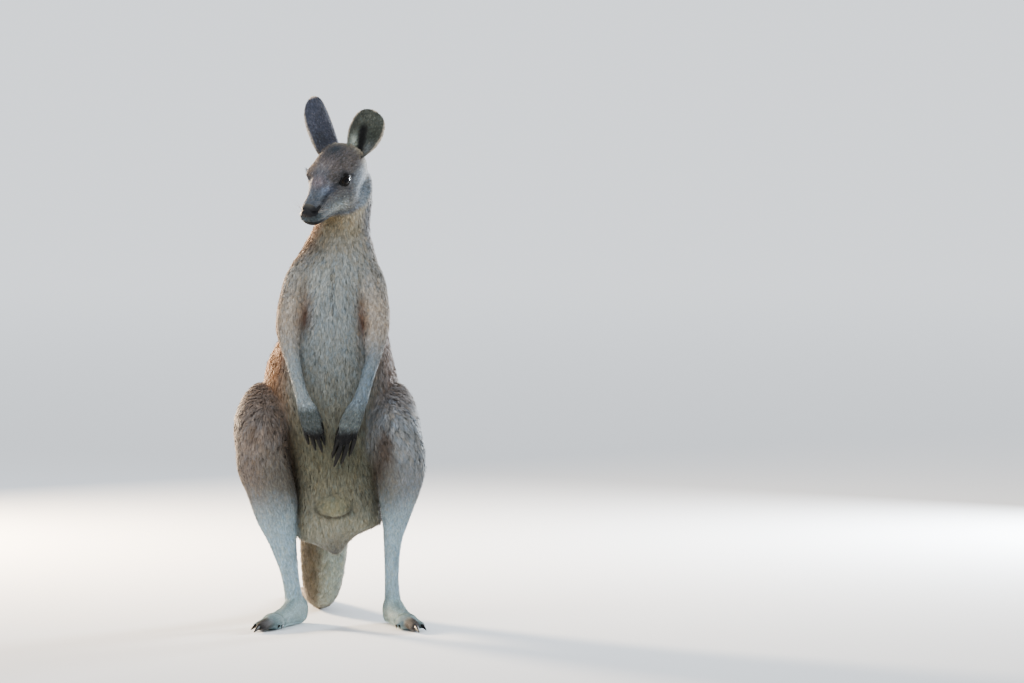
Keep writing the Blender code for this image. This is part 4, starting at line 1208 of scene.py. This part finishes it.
def eyeMaterial(side):
    material, tree, shader = newMaterial("eye_" + side)
    gaze, across, above = (Vector(v) for v in eyeAxes(side))
    place = added(tree, "TexCoord", {})["Object"]
    centred = added(tree, "VectorMath", {0: place, 1: eyeBalls[side]}, operation="SUBTRACT")[0]
    parts = [added(tree, "VectorMath", {0: centred, 1: axis * (1 / size)}, operation="DOT_PRODUCT")["Value"]
             for axis, size in ((across, irisPlan["wide"]), (above, irisPlan["tall"]))]
    joined = added(tree, "CombineXYZ", {0: parts[0], 1: parts[1]})[0]
    far = added(tree, "VectorMath", {0: joined}, operation="LENGTH")["Value"]
    streaks = added(tree, "TexNoise", {"Vector": place, "Scale": irisPlan["streaks"], "Detail": 3})["Fac"]
    wobble = added(tree, "Math", {0: streaks, 1: irisPlan["wobble"], 2: far}, operation="MULTIPLY_ADD")[0]
    part = added(tree, "Math", {0: wobble, 1: irisPlan["whole"]}, operation="DIVIDE")[0]
    setSockets(tree, shader, {"Base Color": ramped(tree, part, irisPlan["stops"]),
                              "Roughness": irisPlan["rough"], "Specular IOR Level": irisPlan["shine"],
                              "Coat Weight": irisPlan["clear"], "Coat Roughness": irisPlan["clearRough"]})
    return material


def eyeball(side):
    gaze = Vector(eyeAxes(side)[0])
    bm = bmesh.new()
    bmesh.ops.create_uvsphere(bm, u_segments=ballPlan["parts"], v_segments=ballPlan["rings"],
                              radius=eyePlan["radius"])
    for vert in bm.verts:
        facing = vert.co.normalized().dot(gaze)
        bulge = max(0.0, (facing - ballPlan["bulgeFrom"]) / (1 - ballPlan["bulgeFrom"]))
        sunk = ballPlan["sunk"] / eyePlan["radius"] if facing < 0.3 else 0
        vert.co *= 1 + ballPlan["bulge"] * bulge ** ballPlan["roundness"] - sunk
    bmesh.ops.translate(bm, vec=eyeBalls[side], verts=bm.verts)
    piece = newPiece("eyeball_" + side, bm)
    smoothed(piece, eyeMaterial(side))
    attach(piece, "root")
    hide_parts("eye_" + side)


for side in "RL":
    eyeball(side)


# lashes and whiskers: fine tapered hairs, three-sided

lashPlan = {
    "count": 40, "from": (-0.62, 0.74), "uneven": 0.012, "overLid": 0.05, "long": 0.0085,
    "longBy": (0.8, 1.15), "curl": 0.25, "sag": 0.5, "thickness": 0.0005, "colour": (0.012, 0.01, 0.01)}
whiskerPlan = {
    "each": 11, "long": (0.026, 0.048), "back": (0.25, 0.7), "down": (-0.1, 0.45), "sag": (0, 0, -0.18),
    "thickness": 0.0004, "colour": (0.42, 0.38, 0.33)}
hairPlan = {"rings": 5, "taper": 0.88, "patches": 0.15, "flecks": 0.1}


def hairPiece(name, hairs, plan):  # hairs: start, end and sag of each
    starts, ends, sags = (np.array(column) for column in zip(*hairs))
    k = np.linspace(0, 1, hairPlan["rings"])[None, :, None]
    middle = starts[:, None] + (ends - starts)[:, None] * k + sags[:, None] * (4 * k * (1 - k) * 0.25)
    along = unit(ends - starts)
    sideways = unit(np.cross(along, np.array([0.13, 0.21, 0.97])))
    other = np.cross(along, sideways)
    angles = (np.arange(3) * 2 * math.pi / 3)[None, None, :, None]
    radius = plan["thickness"] / 2 * (1 - hairPlan["taper"] * k)
    rim = sideways[:, None, None] * np.cos(angles) + other[:, None, None] * np.sin(angles)
    points = middle[:, :, None] + rim * radius[..., None]
    bm = bmesh.new()
    for hair in points:
        verts = [[bm.verts.new(p) for p in ring] for ring in hair]
        for low, high in zip(verts, verts[1:]):
            for j in range(3):
                bm.faces.new((low[j], low[(j + 1) % 3], high[(j + 1) % 3], high[j]))
        bm.faces.new(verts[0][::-1])
        bm.faces.new(verts[-1])
    bmesh.ops.recalc_face_normals(bm, faces=bm.faces)
    piece = newPiece(name, bm)
    material, tree, shader = newMaterial(name)
    amounts = {"Hue": (*plan["colour"], 1), "Patches": hairPlan["patches"], "Flecks": hairPlan["flecks"]}
    tone = added(tree, "Group", amounts, node_tree=furTone)
    setSockets(tree, shader, {"Base Color": tone["Color"], "Roughness": tone["Rough"]})
    piece.data.materials.append(material)
    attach(piece, "root")


def lashes(side):
    gaze, across, above = eyeAxes(side)
    centre, hairs = np.array(eyeBalls[side]), []
    for a in np.linspace(*lashPlan["from"], lashPlan["count"]):
        a += pick.normal(0, lashPlan["uneven"])
        b = eyePlan["tallUp"] * max(0.0, 1 - (abs(a) / eyePlan["wide"]) ** 1.8) ** (1 / 1.7)
        b += lashPlan["overLid"]
        level = gaze * math.cos(a) + across * math.sin(a)
        out = unit(level * math.cos(b) + above * math.sin(b))
        long = lashPlan["long"] * (0.75 + 0.4 * math.cos(a - 0.1)) * pick.uniform(*lashPlan["longBy"])
        start = centre + out * (eyePlan["radius"] + 0.001)
        fan = unit(out * 0.9 + gaze * 0.25 + above * 0.15 + across * (a * 0.35))
        end = start + fan * long + above * long * lashPlan["curl"]
        hairs.append((start, end, -above * long * lashPlan["sag"]))
    hairPiece("lashes_" + side, hairs, lashPlan)


def whiskers():
    points, normals = pointsOf(skin.data), normalsOf(skin.data)
    s, t, u = inHead(points).T
    lip = (s > 0.074) & (s < 0.098) & (u > -0.047) & (u < -0.03) & isNode(fields["owners"], "head")
    hairs = []
    for sign in (-1, 1):
        roomy = np.nonzero(lip & (t * sign > 0.013))[0]
        for number in pick.choice(roomy, whiskerPlan["each"], replace=False):
            long = pick.uniform(*whiskerPlan["long"])
            fan = (normals[number] - headAxes[0] * pick.uniform(*whiskerPlan["back"])
                   - headAxes[2] * pick.uniform(*whiskerPlan["down"]))
            end = points[number] + unit(fan) * long
            hairs.append((points[number], end, np.array(whiskerPlan["sag"]) * long))
    hairPiece("whiskers", hairs, whiskerPlan)


whiskers()
for side in "RL":
    lashes(side)


# claws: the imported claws, softened, in dark horn

clawPlan = {
    "foreAbove": 0.2, "foreSwell": 0.0017, "hindSwell": 0.0003, "longerLeft": 1.4, "longerRight": 1.15,
    "grain": (700, 700, 120), "stops": ((0.35, (0.006, 0.006, 0.006)), (0.75, (0.018, 0.017, 0.016))),
    "rough": (0.42, 0.6), "bump": 0.3, "bumpHeight": 0.0003, "shine": 0.25}


def clawMaterial():
    material, tree, shader = newMaterial("horn")
    place = added(tree, "TexCoord", {})["Object"]
    stretch = added(tree, "Mapping", {"Vector": place, "Scale": clawPlan["grain"]})[0]
    grain = added(tree, "TexNoise", {"Vector": stretch, "Scale": 1.0, "Detail": 4})["Fac"]
    smooth, coarse = clawPlan["rough"]
    rough = added(tree, "MapRange", {"Value": grain, "To Min": smooth, "To Max": coarse})[0]
    relief = {"Height": grain, "Strength": clawPlan["bump"], "Distance": clawPlan["bumpHeight"]}
    bump = added(tree, "Bump", relief)["Normal"]
    setSockets(tree, shader, {"Base Color": ramped(tree, grain, clawPlan["stops"]), "Normal": bump,
                              "Roughness": rough, "Specular IOR Level": clawPlan["shine"]})
    return material


def softClaws():
    names = sorted(n for n in nodes if n.startswith("claw_"))
    bm = bmesh.new()
    for name in names:
        one = bmesh.new()
        one.from_mesh(nodes[name].data)
        bmesh.ops.remove_doubles(one, verts=one.verts[:], dist=1e-6)
        one.normal_update()
        foreclaw = min(v.co.z for v in one.verts) > clawPlan["foreAbove"]
        for vert in one.verts:
            vert.co += vert.normal * clawPlan["foreSwell" if foreclaw else "hindSwell"]
        if foreclaw:
            top = max(one.verts, key=lambda v: v.co.z).co.copy()
            longer = clawPlan["longerLeft" if top.x > 0.005 else "longerRight"]
            for vert in one.verts:
                vert.co = top + (vert.co - top) * longer
        part = newPiece("one", one)
        bm.from_mesh(part.data)
        bpy.data.objects.remove(part)
    piece = softened(newPiece("claws", bm))
    smoothed(piece, clawMaterial())
    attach(piece, "root")
    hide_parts(*names)


softClaws()
print("eyes, lashes and claws made")


# floor, light and camera

studio = {
    "floor": (0.59, 0.6, 0.61), "farFloor": (0.775, 0.783, 0.792), "floorRough": 0.9, "sweep": (1.5, 24),
    "radius": 400, "air": (0.86, 0.9, 0.95), "airStrength": 0.95, "exposure": 0.25}
sun = {"strength": 1.1, "wide": 50, "towards": (0.35, 0.72, -0.72)}
rims = {
    "warmRim": {"at": (-2.6, 2.6, 1.3), "aim": (0, -0.2, 0.75), "size": 0.7, "watts": 680,
        "colour": (1.0, 0.78, 0.55)},
    "coolRim": {"at": (2.6, 2.7, 1.1), "aim": (0, -0.2, 0.7), "size": 0.9, "watts": 300,
        "colour": (0.88, 0.94, 1.0)}}
framing = {"lens": 200, "distance": 12.8, "tilt": math.radians(2.5), "aim": (0.4073, -0.2625, 0.64)}


def floorMaterial():
    material, tree, shader = newMaterial("paleFloor")
    place = added(tree, "TexCoord", {})["Object"]
    away = added(tree, "VectorMath", {0: place}, operation="LENGTH")["Value"]
    reach = {"Value": away, "From Min": studio["sweep"][0], "From Max": studio["sweep"][1]}
    sweep = added(tree, "MapRange", reach, interpolation_type="SMOOTHSTEP")[0]
    tone = ramped(tree, sweep, ((0, studio["floor"]), (1, studio["farFloor"])))
    setSockets(tree, shader, {"Base Color": tone, "Roughness": studio["floorRough"],
                              "Specular IOR Level": 0.0})
    return material


def studioFloor():
    bm = bmesh.new()
    bmesh.ops.create_circle(bm, cap_ends=True, segments=96, radius=studio["radius"])
    floor = newPiece("floor", bm)
    floor.data.materials.append(floorMaterial())
    floor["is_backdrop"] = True


def newLight(name, kind, strength, towards, **settings):
    data = bpy.data.lights.new(name, kind)
    data.energy = strength
    for key, value in settings.items():
        setattr(data, key, value)
    light = newObject(name, data)
    light.rotation_euler = towards.to_track_quat("-Z", "Y").to_euler()
    return light


studioFloor()
newLight("key", "SUN", sun["strength"], Vector(sun["towards"]), angle=math.radians(sun["wide"]))
for name, rim in rims.items():
    towards = Vector(rim["aim"]) - Vector(rim["at"])
    light = newLight(name, "AREA", rim["watts"], towards, shape="DISK", size=rim["size"], color=rim["colour"])
    light.location = rim["at"]
world = bpy.data.worlds.new("air")
bpy.context.scene.world = world
world.use_nodes = True
air = world.node_tree.nodes["Background"]
setSockets(world.node_tree, air, {"Color": (*studio["air"], 1), "Strength": studio["airStrength"]})

view = bpy.context.scene.view_settings
view.view_transform = "AgX"
view.look = "AgX - Medium High Contrast"
view.exposure = studio["exposure"]

lens = bpy.data.cameras.new("camera")
lens.lens = framing["lens"]
lens.sensor_width = 36
camera = newObject("camera", lens)
back = Vector((0, -math.cos(framing["tilt"]), math.sin(framing["tilt"]))) * framing["distance"]
camera.location = Vector(framing["aim"]) + back
camera.rotation_euler = (math.pi / 2 - framing["tilt"], 0, 0)
bpy.context.scene.camera = camera
print("floor, light and camera set")

low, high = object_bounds()
print("visual box", [round((b - a) * 1000, 1) for a, b in zip(low, high)])
